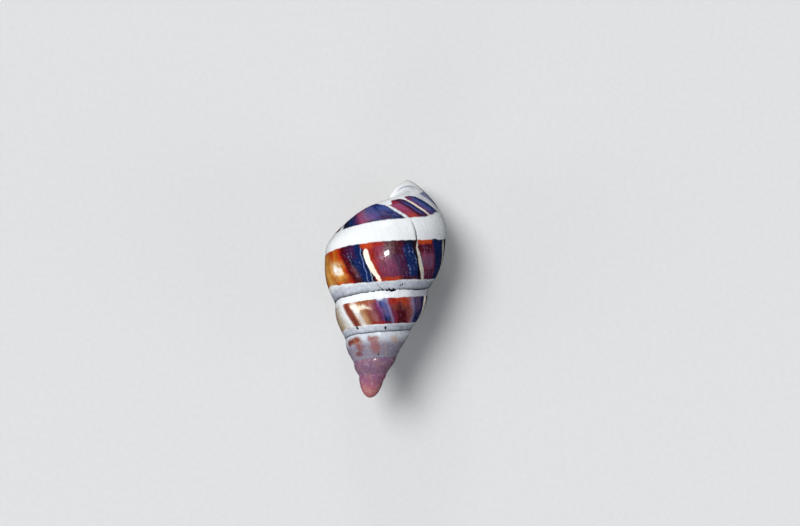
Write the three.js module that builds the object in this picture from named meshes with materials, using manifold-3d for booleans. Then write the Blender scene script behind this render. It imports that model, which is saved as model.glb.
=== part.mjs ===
import * as THREE from "three";
import { mergeVertices } from "three/addons/utils/BufferGeometryUtils.js";
import Module from "manifold-3d";

// Banded tree snail at rest, life size, in millimetres, +Z up, floor at z = 0.
// The shell's apex points to -Y and its outer lip is on the +X side.

// Growth of the shell. A turn count of 0 is straight under the axis, just past the
// lip, and the count rises towards the apex.
const radiusAtEnd = 14.94;
const radiusRate = 0.513;
const radiusEase = 0.389;
const heightAtEnd = 43.3;
const heightRate = 0.559;
const heightEase = 0.206;
const easeTurns = 2;
const lipTurn = 0.12;
const lipEdge = 0.2;

// Cross-section of a whorl, in shares of its radius
const shoulderAngle = 32;
const shoulderReach = 0.44;
const peripheryReach = 0.42;
const basePull = 0.26;
const baseRound = 0.13;
const baseRadius = 0.437;
const baseDepth = 0.663;
const curlReach = 0.14;
const curlRise = [0.04, 0.17];
const curlRadius = [0.13, 0.06];
const coreRadius = 0.02;

// Blunt first turns
const domeTurn = 4.8;
const domeRadius = 2.95;
const domeHeight = 6.2;
const domeSkirt = 0.4;

// Pose of the shell over the floor
const shellTilt = 7;
const apexHeight = 18.1;
const apexBack = -25;

// Fits
const gap = 0.3;
const fineGap = 0.12;
const eyeGap = 0.06;
const seamTurns = 0.002;
const sliver = 0.02;
const cleanGrid = 0.002;

// Hollow behind the lip, filled by the mantle. Its walls take these parts of the
// profile, from the side of the whorl and from the base of the whorl before it.
const shellWall = 0.9;
const pocketTurns = 0.24;
const pocketOuter = [0.22, 2.75];
const pocketInner = [1.15, 2.8];
const mantleInset = 0.012;

// Foot
const footBack = -9.5;
const footFront = 20.6;
const footHalfWidth = 7.6;
const footRise = 4.2;
const footMiddle = 0.3;
const footSwing = 4;
const footSwingFrom = 0.42;
const footTaper = 0.34;
const leastHalf = 0.5;
const soleEdge = 0.35;
const soleShare = 0.93;
const tailCut = -1.5;
const neckCut = 3.7;

// Neck, head and feelers
const neckCentre = [3.9, 9.9, 4.4];
const neckRadii = [5.6, 8.7, 4.1];
const neckTurn = -8;
const headCentre = [3.7, 18.2, 3.7];
const headRadii = [2.6, 3.4, 2.4];
const chinHeight = 1.4;
const mouthOffset = [0, 3.0, -1.4];
const mouthRadii = [1.15, 1.0, 0.85];
const feelerRadius = 0.52;
const feelerBulge = 0.28;
const feelerThinning = 0.15;
const eyeRadius = 0.42;
const eyeDepth = 0.12;
const feelerPlaces = {
  tentacle_upper_left: { root: [-1.1, 1.6, 1.15], tip: [-0.85, 4.85, 1.7] },
  tentacle_upper_right: { root: [1.15, 1.6, 1.1], tip: [1.7, 5.05, 1.3] },
  tentacle_lower_left: { root: [-1.3, 2.2, -1.1], tip: [-1.35, 4.3, -1.75] },
  tentacle_lower_right: { root: [1.3, 2.2, -1.1], tip: [1.6, 4.4, -1.75] },
};

// Facets. Earlier whorls are smaller, so they take fewer.
const ringsPerTurn = [40, 40, 40, 20, 20];
const stepsPerRing = [15, 12, 9, 9, 6];
const pocketSteps = { outer: 16, inner: 9 };

const wasm = await Module();
wasm.setup();

// ---- solids ----

// A closed surface as a solid with its faces outwards
function solidFrom(geometry) {
  const bare = new THREE.BufferGeometry();
  bare.setAttribute("position", geometry.getAttribute("position"));
  bare.setIndex(geometry.getIndex());
  const merged = mergeVertices(bare, 1e-4);
  const kept = [];
  for (let i = 0; i < merged.index.count; i += 3) {
    const [a, b, c] = merged.index.array.slice(i, i + 3);
    if (a !== b && b !== c && c !== a) kept.push(a, b, c);
  }
  const corners = new Uint32Array(kept);
  const make = () => new wasm.Manifold(new wasm.Mesh({
    numProp: 3,
    vertProperties: new Float32Array(merged.attributes.position.array),
    triVerts: corners,
  }));
  const made = make();
  if (made.volume() >= 0) return made;
  for (let i = 0; i < corners.length; i += 3) {
    const first = corners[i];
    corners[i] = corners[i + 1];
    corners[i + 1] = first;
  }
  return make();
}

// The surface of a solid, its corners moved to a fine grid
function geometryFrom(solid) {
  const mesh = solid.getMesh();
  const count = mesh.numVert;
  const places = new Float32Array(count * 3);
  for (let i = 0; i < count; i++) {
    for (let k = 0; k < 3; k++) {
      const value = mesh.vertProperties[i * mesh.numProp + k];
      places[i * 3 + k] = Math.round(value / cleanGrid) * cleanGrid;
    }
  }
  const geometry = new THREE.BufferGeometry();
  geometry.setAttribute("position", new THREE.BufferAttribute(places, 3));
  geometry.setIndex(new THREE.BufferAttribute(new Uint32Array(mesh.triVerts), 1));
  return geometry;
}

function largest(solid) {
  const bodies = solid.decompose();
  return bodies.reduce((best, body) => (body.volume() > best.volume() ? body : best));
}

// One closed body without the slivers that a cut leaves
function settled(solid) {
  const smooth = largest(solid).asOriginal().simplify(sliver);
  return largest(solidFrom(geometryFrom(smooth)));
}

// Closed body through rings of points, with the triangles that close each end
function loft(rings, startCap, endCap) {
  const size = rings[0].length;
  const places = [];
  rings.forEach((ring) => ring.forEach((p) => places.push(p.x, p.y, p.z)));
  const faces = [];
  for (let i = 0; i + 1 < rings.length; i++) {
    for (let k = 0; k < size; k++) {
      const next = (k + 1) % size;
      const low = i * size;
      const high = low + size;
      faces.push(low + k, low + next, high + next);
      faces.push(low + k, high + next, high + k);
    }
  }
  const last = (rings.length - 1) * size;
  startCap.forEach(([a, b, c]) => faces.push(a, c, b));
  endCap.forEach(([a, b, c]) => faces.push(last + a, last + b, last + c));
  const geometry = new THREE.BufferGeometry();
  geometry.setAttribute("position", new THREE.Float32BufferAttribute(places, 3));
  geometry.setIndex(faces);
  return solidFrom(geometry);
}

function ball({ centre, radii, grow = 0, across = 26, down = 18, turn = 0 }) {
  const sphere = new THREE.SphereGeometry(1, across, down);
  sphere.scale(radii[0] + grow, radii[1] + grow, radii[2] + grow);
  sphere.rotateZ(THREE.MathUtils.degToRad(turn));
  sphere.translate(...centre);
  return solidFrom(sphere);
}

// ---- shell ----

// Radius of the whorl's widest line, and its distance from the apex along the axis
function growth(turn) {
  const ease = easeTurns * (1 - Math.exp(-turn / easeTurns));
  return {
    r: radiusAtEnd * Math.exp(radiusEase * ease - radiusRate * turn),
    a: heightAtEnd * Math.exp(heightEase * ease - heightRate * turn),
  };
}

function curve(points, s) {
  const t = 1 - s;
  const weights = [t * t * t, 3 * t * t * s, 3 * t * s * s, s * s * s];
  return new THREE.Vector2(
    weights.reduce((sum, weight, i) => sum + weight * points[i][0], 0),
    weights.reduce((sum, weight, i) => sum + weight * points[i][1], 0),
  );
}

// Point of the outer profile: 0 to 1 the side, 1 to 2 the base, 2 to 3 the curl
// towards the columella. x is the distance from the axis and y the one from the apex.
function profile(turn, v) {
  const now = growth(turn);
  if (v <= 1) {
    const before = growth(turn + 1);
    const reach = Math.hypot(now.r - before.r, now.a - before.a);
    const angle = THREE.MathUtils.degToRad(shoulderAngle);
    return curve([
      [before.r, before.a],
      [
        before.r + shoulderReach * reach * Math.sin(angle),
        before.a + shoulderReach * reach * Math.cos(angle),
      ],
      [now.r, now.a - peripheryReach * reach],
      [now.r, now.a],
    ], v);
  }
  const base = [
    [1, 0],
    [1, basePull],
    [baseRadius + baseRound, baseDepth],
    [baseRadius, baseDepth],
  ];
  const curl = [
    [baseRadius, baseDepth],
    [baseRadius - curlReach, baseDepth],
    [curlRadius[0], baseDepth - curlRise[0]],
    [curlRadius[1], baseDepth - curlRise[1]],
  ];
  const shape = v <= 2 ? curve(base, v - 1) : curve(curl, v - 2);
  return new THREE.Vector2(now.r * shape.x, now.a + now.r * shape.y);
}

function profileLine(turn, [from, to], steps) {
  const line = [];
  for (let i = 0; i <= steps; i++) {
    line.push(profile(turn, from + ((to - from) * i) / steps));
  }
  return line;
}

// Moves each point of an open line along its own normal
function offsetLine(line, distance) {
  return line.map((p, i) => {
    const before = line[Math.max(i - 1, 0)];
    const after = line[Math.min(i + 1, line.length - 1)];
    const along = after.clone().sub(before).normalize();
    return new THREE.Vector2(
      Math.max(p.x + along.y * distance, 0.05),
      p.y - along.x * distance,
    );
  });
}

// Draws a closed loop in by the same distance all round
function shrinkLoop(loop, distance) {
  const count = loop.length;
  const sign = THREE.ShapeUtils.area(loop) < 0 ? -1 : 1;
  return loop.map((p, i) => {
    const into = p.clone().sub(loop[(i + count - 1) % count]).normalize();
    const out = loop[(i + 1) % count].clone().sub(p).normalize();
    const normal = new THREE.Vector2(-into.y - out.y, into.x + out.x).normalize();
    const miter = Math.max(0.45, normal.dot(new THREE.Vector2(-into.y, into.x)));
    return p.clone().addScaledVector(normal, (sign * distance) / miter);
  });
}

// Whole section of one whorl, from the suture round to the axis and back
function whorlSection(turn, grow, steps) {
  const line = offsetLine(profileLine(turn, [0, 3], steps), grow);
  const core = coreRadius * growth(turn).r;
  const top = profile(turn, 0).y - grow;
  const low = line[line.length - 1];
  line.push(new THREE.Vector2(core, low.y - grow));
  line.push(new THREE.Vector2(core, top));
  line[0] = new THREE.Vector2(line[0].x, Math.min(line[0].y, top));
  return line;
}

// Section of the hollow that the soft body leaves the shell by
function pocketSection(turn, inset) {
  const outer = offsetLine(profileLine(turn, pocketOuter, pocketSteps.outer), -shellWall);
  const inner = profileLine(turn + 1, pocketInner, pocketSteps.inner);
  return shrinkLoop(outer.concat(inner.reverse()), inset);
}

// From the flat of a section to its place along the spiral
function place(point, turn) {
  const angle = THREE.MathUtils.degToRad(360 * turn - 90);
  const tilt = THREE.MathUtils.degToRad(shellTilt);
  const across = point.x * Math.cos(angle);
  const up = point.x * Math.sin(angle);
  return new THREE.Vector3(
    across,
    apexBack + point.y * Math.cos(tilt) + up * Math.sin(tilt),
    apexHeight - point.y * Math.sin(tilt) + up * Math.cos(tilt),
  );
}

// Triangles that fill a section, turned the same way as its outline
function fill(section) {
  const clockwise = THREE.ShapeUtils.area(section) < 0;
  return THREE.ShapeUtils.triangulateShape(section, []).map(([a, b, c]) => {
    const corners = [section[a], section[b], section[c]];
    const turned = THREE.ShapeUtils.area(corners) < 0;
    return turned === clockwise ? [a, b, c] : [a, c, b];
  });
}

// Sweeps a section along the spiral. Its rings stand at the same even shares of a
// turn in every whorl, so that the facets of neighbours line up at the sutures.
function sweep(section, from, to, perTurn) {
  const least = 0.2 / perTurn;
  const stops = [from];
  for (let i = Math.floor(from * perTurn) + 1; i < to * perTurn; i++) {
    const turn = i / perTurn;
    if (turn - from > least && to - turn > least) stops.push(turn);
  }
  stops.push(to);
  const flats = stops.map(section);
  const rings = flats.map((flat, i) => flat.map((p) => place(p, stops[i])));
  return loft(rings, fill(flats[0]), fill(flats[flats.length - 1]));
}

function whorl(from, to, grow = 0) {
  const level = Math.min(Math.floor(from), ringsPerTurn.length - 1);
  const section = (turn) => whorlSection(turn, grow, stepsPerRing[level]);
  return sweep(section, from, to, ringsPerTurn[level]);
}

// Blunt dome over the first turns
function apexDome(grow) {
  const foot = domeHeight + domeSkirt + grow;
  const points = [new THREE.Vector2(0, foot), new THREE.Vector2(0.9 * domeRadius, foot)];
  const steps = 9;
  for (let i = 0; i <= steps; i++) {
    const angle = (Math.PI / 2) * (i / steps);
    points.push(new THREE.Vector2(
      i === steps ? 0 : (domeRadius + grow) * Math.cos(angle),
      domeHeight - (domeHeight + grow) * Math.sin(angle),
    ));
  }
  const lathe = new THREE.LatheGeometry(points, 24);
  lathe.rotateX(-THREE.MathUtils.degToRad(shellTilt));
  lathe.translate(0, apexBack, apexHeight);
  return solidFrom(lathe);
}

const starts = [lipTurn, 1.12, 2.12, 3.12, 4.12, domeTurn];
const grown = starts.slice(0, -1).map((from, i) => whorl(from, starts[i + 1], gap));
const grownDome = apexDome(gap);
const grownShell = wasm.Manifold.union(grown.slice(0, 3));
const perTurn = ringsPerTurn[0];
const hollow = sweep(
  (turn) => pocketSection(turn, 0),
  lipTurn - 0.03,
  lipTurn + pocketTurns,
  perTurn,
);
const mantle = sweep(
  (turn) => pocketSection(turn, gap),
  lipTurn + mantleInset / 2,
  lipTurn + pocketTurns - mantleInset,
  perTurn,
);

// One whorl, cut clear of the next two whorls towards the apex
function clearWhorl(index, from) {
  const made = whorl(from, starts[index + 1] - seamTurns / 4);
  const next = grown.slice(index + 1, index + 3);
  return next.reduce((rest, cutter) => rest.subtract(cutter), made);
}

const lip = largest(whorl(lipTurn, lipEdge).subtract(hollow).subtract(grown[1]));
const bodyWhorl = largest(clearWhorl(0, lipEdge + 2 * seamTurns).subtract(hollow));
const spire = [1, 2, 3, 4].map((index) => {
  const made = clearWhorl(index, starts[index] + seamTurns);
  return largest(made.subtract(grownDome));
});

// What lies outside the shell: in front of the flat mouth of the shell, and clear
// of the whorls behind it
function outsideShell(solid) {
  const angle = THREE.MathUtils.degToRad(360 * lipTurn - 90);
  const tilt = THREE.MathUtils.degToRad(shellTilt);
  const ahead = new THREE.Vector3(
    Math.sin(angle),
    -Math.cos(angle) * Math.sin(tilt),
    -Math.cos(angle) * Math.cos(tilt),
  );
  const start = ahead.dot(new THREE.Vector3(0, apexBack, apexHeight));
  return solid.trimByPlane(ahead.toArray(), start + gap).subtract(grownShell);
}

// ---- soft body ----

// One cross-section of the foot, flat below and domed above
function footRing(share, grow) {
  const y = footBack - grow + (footFront - footBack + 2 * grow) * share;
  const swing = Math.max(0, (share - footSwingFrom) / (1 - footSwingFrom));
  const middle = footMiddle + footSwing * swing * swing * (1.6 - 0.6 * swing);
  const round = Math.sqrt(Math.max(0, 1 - (2 * share - 1) ** 2));
  const full = Math.pow(round, 0.75) * (1 - footTaper * Math.pow(share, 3));
  const half = Math.max(leastHalf, footHalfWidth * full) + grow;
  const rise = Math.max(leastHalf, footRise * Math.pow(round, 0.7)) + grow;
  const ring = [];
  const arc = 10;
  for (let i = 0; i <= arc; i++) {
    const angle = (Math.PI * i) / arc;
    const up = i % arc === 0 ? 0 : Math.pow(Math.sin(angle), 0.85);
    const spread = half * (0.97 + 0.03 * Math.sin(2 * angle));
    const across = middle + Math.cos(angle) * spread;
    ring.push(new THREE.Vector3(across, y, soleEdge + up * (rise - soleEdge)));
  }
  for (const side of [-soleShare, 0, soleShare]) {
    ring.push(new THREE.Vector3(middle + side * half, y, -grow));
  }
  return ring;
}

function footSolid(grow) {
  const rings = [];
  const steps = 22;
  for (let i = 0; i <= steps; i++) {
    const share = 0.5 - 0.5 * Math.cos((Math.PI * i) / steps);
    rings.push(footRing(share, grow));
  }
  const fan = [];
  for (let k = 1; k + 1 < rings[0].length; k++) fan.push([0, k, k + 1]);
  return loft(rings, fan, fan);
}

// Tapered round rod between two points, its far end rounded
function rod({ root, tip, thick, thin }, grow = 0) {
  const length = root.distanceTo(tip);
  const points = [
    new THREE.Vector2(0, -grow),
    new THREE.Vector2(thick + grow, -grow),
    new THREE.Vector2((thick + thin) / 2 + grow, length * 0.45),
  ];
  const steps = 4;
  for (let i = 0; i <= steps; i++) {
    const angle = (Math.PI / 2) * (i / steps);
    points.push(new THREE.Vector2(
      i === steps ? 0 : (thin + grow) * Math.cos(angle),
      length - thin + (thin + grow) * Math.sin(angle),
    ));
  }
  const lathe = new THREE.LatheGeometry(points, 10);
  const along = tip.clone().sub(root).normalize();
  const up = new THREE.Vector3(0, 1, 0);
  lathe.applyQuaternion(new THREE.Quaternion().setFromUnitVectors(up, along));
  lathe.translate(root.x, root.y, root.z);
  return solidFrom(lathe);
}

const headMiddle = new THREE.Vector3(...headCentre);
const mouthCentre = headMiddle.clone().add(new THREE.Vector3(...mouthOffset)).toArray();
const mouthBall = (grow) => ball({
  centre: mouthCentre,
  radii: mouthRadii,
  grow,
  across: 14,
  down: 10,
});
const headBall = (grow) => ball({
  centre: headCentre,
  radii: headRadii,
  grow,
  across: 22,
  down: 16,
});
const neckBall = ball({
  centre: neckCentre,
  radii: neckRadii,
  across: 24,
  down: 16,
  turn: neckTurn,
});

const lowBody = footSolid(0).add(neckBall).trimByPlane([0, 0, 1], 0);
const coveredBody = outsideShell(lowBody);
const tail = largest(coveredBody.trimByPlane([0, -1, 0], -tailCut + gap));
const frontBody = coveredBody.trimByPlane([0, 1, 0], tailCut).subtract(headBall(gap));
const foot = largest(frontBody.trimByPlane([0, 0, -1], -neckCut + gap));
const neck = largest(frontBody.trimByPlane([0, 0, 1], neckCut));
const grownFoot = footSolid(gap);
const mouth = largest(mouthBall(0).subtract(grownFoot));

const feelers = {};
const eyes = {};
let head = outsideShell(headBall(0)).trimByPlane([0, 0, 1], chinHeight);
head = head.subtract(mouthBall(fineGap));
for (const [name, at] of Object.entries(feelerPlaces)) {
  const upper = name.includes("upper");
  const shape = {
    root: headMiddle.clone().add(new THREE.Vector3(...at.root)),
    tip: headMiddle.clone().add(new THREE.Vector3(...at.tip)),
    thick: feelerRadius + (upper ? feelerBulge : 0),
    thin: feelerRadius - (upper ? 0 : feelerThinning),
  };
  let feeler = outsideShell(rod(shape)).subtract(grownFoot);
  feeler = feeler.subtract(mouthBall(fineGap));
  head = head.subtract(rod(shape, fineGap));
  if (upper) {
    const back = shape.root.clone().sub(shape.tip).normalize();
    const centre = shape.tip.clone().addScaledVector(back, eyeDepth).toArray();
    const radii = [eyeRadius, eyeRadius, eyeRadius];
    feeler = feeler.subtract(ball({ centre, radii, grow: eyeGap }));
    const eyeName = name.replace("tentacle_upper", "eye");
    eyes[eyeName] = ball({ centre, radii, across: 12, down: 8 });
  }
  feelers[name] = largest(feeler);
}
head = largest(head);

// ---- scene graph ----

const shellFinish = { color: 0x6a1a30, roughness: 0.25 };
const apexFinish = { color: 0xcf7a70, roughness: 0.25 };
const fleshFinish = { color: 0xb9a58c, roughness: 0.5 };
const eyeFinish = { color: 0x100c0c, roughness: 0.15 };

const shellNodes = {
  shell_lip: lip,
  shell_body_whorl: bodyWhorl,
  shell_whorl_2: spire[0],
  shell_whorl_3: spire[1],
  shell_whorl_4: spire[2],
  shell_whorl_5: spire[3],
};
const fleshNodes = { mantle, foot, tail, neck, head, mouth, ...feelers };
const sets = [
  [shellNodes, shellFinish],
  [{ shell_apex: apexDome(0) }, apexFinish],
  [fleshNodes, fleshFinish],
  [eyes, eyeFinish],
];

const group = new THREE.Group();
for (const [nodes, finish] of sets) {
  for (const [name, solid] of Object.entries(nodes)) {
    const geometry = geometryFrom(settled(solid));
    geometry.computeVertexNormals();
    const mesh = new THREE.Mesh(geometry, new THREE.MeshStandardMaterial(finish));
    mesh.name = name;
    group.add(mesh);
  }
}

// The origin is under the middle of the bounding box
const bounds = new THREE.Box3().setFromObject(group);
const middle = bounds.getCenter(new THREE.Vector3());
group.position.set(-middle.x, -middle.y, -bounds.min.z);

export default group;
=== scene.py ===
import math
from types import SimpleNamespace

import bmesh
import bpy
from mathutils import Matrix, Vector, noise
from mathutils.bvhtree import BVHTree


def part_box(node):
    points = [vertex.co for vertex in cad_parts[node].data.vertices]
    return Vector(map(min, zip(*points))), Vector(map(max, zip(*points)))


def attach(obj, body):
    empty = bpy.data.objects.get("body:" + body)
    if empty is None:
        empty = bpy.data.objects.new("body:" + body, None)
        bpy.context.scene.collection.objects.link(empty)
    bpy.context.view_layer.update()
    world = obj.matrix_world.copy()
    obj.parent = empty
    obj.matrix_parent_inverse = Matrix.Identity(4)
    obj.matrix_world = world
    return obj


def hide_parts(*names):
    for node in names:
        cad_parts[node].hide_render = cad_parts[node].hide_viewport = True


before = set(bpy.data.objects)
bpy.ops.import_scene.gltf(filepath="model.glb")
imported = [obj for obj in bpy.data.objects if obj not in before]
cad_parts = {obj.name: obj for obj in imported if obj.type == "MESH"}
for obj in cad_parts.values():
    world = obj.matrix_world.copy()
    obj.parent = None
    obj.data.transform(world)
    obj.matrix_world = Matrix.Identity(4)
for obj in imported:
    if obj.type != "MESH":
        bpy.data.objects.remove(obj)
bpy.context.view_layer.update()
print("frame loaded")

mm = 0.001


# small helpers

def blendValue(low, high, value):
    # soft step from 0 at low to 1 at high
    share = min(max((value - low) / (high - low), 0.0), 1.0)
    return share * share * (3 - 2 * share)


def bump(value, centre, width):
    # 1 at the centre, falling off softly on both sides
    return math.exp(-((value - centre) / width) ** 2)


def linked(name, data):
    # a new object with this data, in the scene
    made = bpy.data.objects.new(name, data)
    bpy.context.scene.collection.objects.link(made)
    return made


def meshFrom(name, form):
    mesh = bpy.data.meshes.new(name)
    form.to_mesh(mesh)
    form.free()
    return mesh


def addPiece(name, form, materials, replaced):
    # a smooth piece from a bmesh, in place of the frame's plain nodes
    mesh = meshFrom(name, form)
    piece = linked(name, mesh)
    for material in materials:
        mesh.materials.append(material)
    for face in mesh.polygons:
        face.use_smooth = True
    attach(piece, "root")
    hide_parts(*replaced)
    print(name, len(mesh.polygons), "faces")
    return piece


# shell form, in millimetres and turns; turn 0 is straight under the axis at the mouth

shellForm = {
    "apex": (-0.715, -25.15, 18.1),
    "tilt": 7.0,
    "endRadius": 14.94,
    "radiusRate": 0.513,
    "radiusEase": 0.389,
    "endHeight": 43.3,
    "heightRate": 0.559,
    "heightEase": 0.206,
    "easeTurns": 2.0,
    "lipTurn": 0.12,
    "lastTurn": 4.9,
    "shoulderAngle": 32.0,
    "shoulderReach": 0.44,
    "peripheryReach": 0.42,
    "base": ((1, 0), (1, 0.26), (0.567, 0.663), (0.437, 0.663)),
    "curl": ((0.437, 0.663), (0.297, 0.663), (0.13, 0.623), (0.06, 0.493)),
    "lipDraw": 0.1,
    "lipFlare": 0.55,
    "rowStep": 0.28,
    "columns": ((-0.03, 0.12, 8), (0.12, 0.86, 16), (0.86, 1.06, 6), (1.06, 2, 12), (2, 3, 7), (3, 4, 3)),
    "wall": 0.6,
    "lipRound": 0.17,
    "coveredTurn": 1.6,
    "coveredPart": 1.3,
    "sideLag": 0.07,  # how far the growth lines lag behind, in turns
    "edgeLag": 0.04,
    "baseLag": 0.17,
    "edgeParts": (0.75, 1.25),
}


def growth(turn):
    # radius of the widest line and its distance from the tip along the axis
    form = shellForm
    ease = form["easeTurns"] * (1 - math.exp(-turn / form["easeTurns"]))
    radius = form["endRadius"] * math.exp(form["radiusEase"] * ease - form["radiusRate"] * turn)
    height = form["endHeight"] * math.exp(form["heightEase"] * ease - form["heightRate"] * turn)
    return radius, height


def bezier(points, s):
    t = 1 - s
    weights = (t * t * t, 3 * t * t * s, 3 * t * s * s, s * s * s)
    return (sum(w * p[0] for w, p in zip(weights, points)),
            sum(w * p[1] for w, p in zip(weights, points)))


def profile(turn, v):
    # v 0 to 1 is the side, 1 to 2 the base, 2 to 3 the curl and 3 to 4 the pillar
    form = shellForm
    radius, height = growth(turn)
    lastRadius, lastHeight = growth(turn + 1)
    if v <= 1:
        reach = math.hypot(radius - lastRadius, height - lastHeight)
        angle = math.radians(form["shoulderAngle"])
        shoulder = form["shoulderReach"] * reach
        return bezier((
            (lastRadius, lastHeight),
            (lastRadius + shoulder * math.sin(angle), lastHeight + shoulder * math.cos(angle)),
            (radius, height - form["peripheryReach"] * reach),
            (radius, height),
        ), v)
    if v <= 2:
        across, down = bezier(form["base"], v - 1)
    else:
        across, down = bezier(form["curl"], min(v, 3) - 2)
    across, down = radius * across, height + radius * down
    if v > 3:
        tip = form["curl"][3]
        share = v - 3
        across += (lastRadius * tip[0] - across) * share
        down += (lastHeight + lastRadius * tip[1] - down) * share
    return across, down


def shellPlace(turn, radius, height):
    angle = math.radians(360 * turn - 90)
    tilt = math.radians(shellForm["tilt"])
    up = radius * math.sin(angle)
    x, y, z = shellForm["apex"]
    return Vector((
        x + radius * math.cos(angle),
        y + height * math.cos(tilt) + up * math.sin(tilt),
        z - height * math.sin(tilt) + up * math.cos(tilt),
    )) * mm


def growthAt(turn, v):
    # growth counts in turns too, and stays the same along a growth line
    form = shellForm
    start, end = form["edgeParts"]
    side = form["sideLag"] * (min(max(v, 0), start) - 0.5)
    edge = form["edgeLag"] * (min(max(v, start), end) - start)
    return turn - (side + edge + form["baseLag"] * max(0, min(v, 3) - end))


def sideLength(turn):
    radius, height = growth(turn)
    lastRadius, lastHeight = growth(turn + 1)
    return math.hypot(radius - lastRadius, height - lastHeight)


# relief of the shell, heights in millimetres, widths in turns or parts of the profile

reliefForm = {
    "ridges": 0.03,
    "ridgesPerTurn": 130,
    "swells": 0.06,
    "swellsPerTurn": 19,
    "calmTurns": (4.6, 2.2),
    "restAt": 0.385,
    "restWidth": 0.0028,
    "restDepth": 0.13,
    "restRidgeAt": 0.391,
    "restRidgeWidth": 0.004,
    "restRidge": 0.078,
    "seamJag": 0.05,
    "seamWidth": 0.035,
    "jagsPerTurn": (50, 150),
    "seamRib": 0.06,
    "ribAt": (0.045, 0.03),
    "creaseAt": (0.105, 0.022),
    "crease": 0.8,
    "chips": 0.13,
    "chipped": (0.39, 0.55),
    "callus": 0.22,
    "callused": (1.36, 1.54),
    "fade": 0.03,
    "pitDepth": 0.16,
    "pitReach": 2,
    "sideFlats": ((2.25, 0.14, 0.5), (3.25, 0.14, 0.2)),
    "baseFlat": (0.62, 0.1, 0.4),
}

pits = (  # growth, part of the profile and radius of each small hole
    (0.459, 0.07, 0.2),
    (0.4515, 0.078, 0.24),
    (0.4425, 0.086, 0.13),
    (1.614, 0.14, 0.42),
    (1.482, 0.08, 0.38),
    (2.488, 0.12, 0.26),
    (1.673, 0.16, 0.15),
    (0.405, 1.12, 0.1),
    (0.93, 0.12, 0.25),
    (1.17, 0.1, 0.3),
)


def within(span, turn):
    # 1 inside a span of turns, fading at both ends
    low, high = span
    fade = reliefForm["fade"]
    return blendValue(low, low + fade, turn) * blendValue(high, high - fade, turn)


def growthRelief(v, g, calm, size):
    # ridges and swells along the growth lines, and the groove and ridge of a growth rest
    form = reliefForm
    fine = noise.noise(Vector((g * form["ridgesPerTurn"], v * 1.7, 3.1)))
    coarse = noise.noise(Vector((g * form["swellsPerTurn"], v * 1.1, 8.4)))
    height = calm * (form["ridges"] * fine + form["swells"] * coarse * size)
    rest = bump(g, form["restAt"], form["restWidth"]) * blendValue(0.05, 0.9, v) * blendValue(2.3, 1.6, v)
    ridge = bump(g, form["restRidgeAt"], form["restRidgeWidth"]) * blendValue(0.5, 1, v)
    return height - form["restDepth"] * rest + form["restRidge"] * ridge


def seamRelief(turn, v, calm, size):
    # uneven edge of the seam, a fine rib under it, chips and white callus
    form = reliefForm
    slow, fast = form["jagsPerTurn"]
    jag = noise.noise(Vector((turn * slow, 1.7, 0.4))) + 0.7 * noise.noise(Vector((turn * fast, 5.2, 7)))
    depth = form["seamJag"] + form["chips"] * within(form["chipped"], turn)
    height = depth * jag * bump(v, 0, form["seamWidth"]) * calm
    rib = bump(v, *form["ribAt"]) - form["crease"] * bump(v, *form["creaseAt"])
    height += form["seamRib"] * rib * size
    lump = max(0, noise.noise(Vector((turn * 75, v * 20, 2.6))) + 0.25)
    edge = blendValue(0.86, 0.94, v) * blendValue(1.1, 1.02, v)
    return height + form["callus"] * within(form["callused"], turn) * lump * edge


def shellRelief(turn, v):
    form = reliefForm
    g = growthAt(turn, v)
    radius = growth(turn)[0]
    size = radius / shellForm["endRadius"]
    calm = blendValue(*form["calmTurns"], turn)
    height = growthRelief(v, g, calm, size) + seamRelief(turn, v, calm, size)
    for atGrowth, atPart, reach in pits:
        across = (g - atGrowth) * 2 * math.pi * radius
        along = (v - atPart) * sideLength(turn)
        if abs(across) < form["pitReach"] and abs(along) < form["pitReach"]:
            height -= form["pitDepth"] * math.exp(-(across * across + along * along) / (reach * reach))
    # slight flats of the early whorls and of the base, and the flare of the lip
    sideShare = math.sin(math.pi * min(max(v, 0), 1))
    for atTurn, width, depth in form["sideFlats"]:
        height -= depth * bump(turn, atTurn, width) * sideShare
    atTurn, width, depth = form["baseFlat"]
    height -= depth * bump(turn, atTurn, width) * bump(v, 1.4, 0.3)
    flare = blendValue(0.36, 0.13, turn) * blendValue(0.9, 1.5, v) * blendValue(2.4, 1.9, v)
    return (height + shellForm["lipFlare"] * flare) * mm


def rowTurns():
    turns = [shellForm["lipTurn"]]
    while turns[-1] < shellForm["lastTurn"]:
        turns.append(turns[-1] + shellForm["rowStep"] / (2 * math.pi * growth(turns[-1])[0]))
    return turns


def columnStops():
    parts = shellForm["columns"]
    stops = [parts[0][0]]
    for low, high, count in parts:
        stops += [low + (high - low) * i / count for i in range(1, count + 1)]
    return stops


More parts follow.
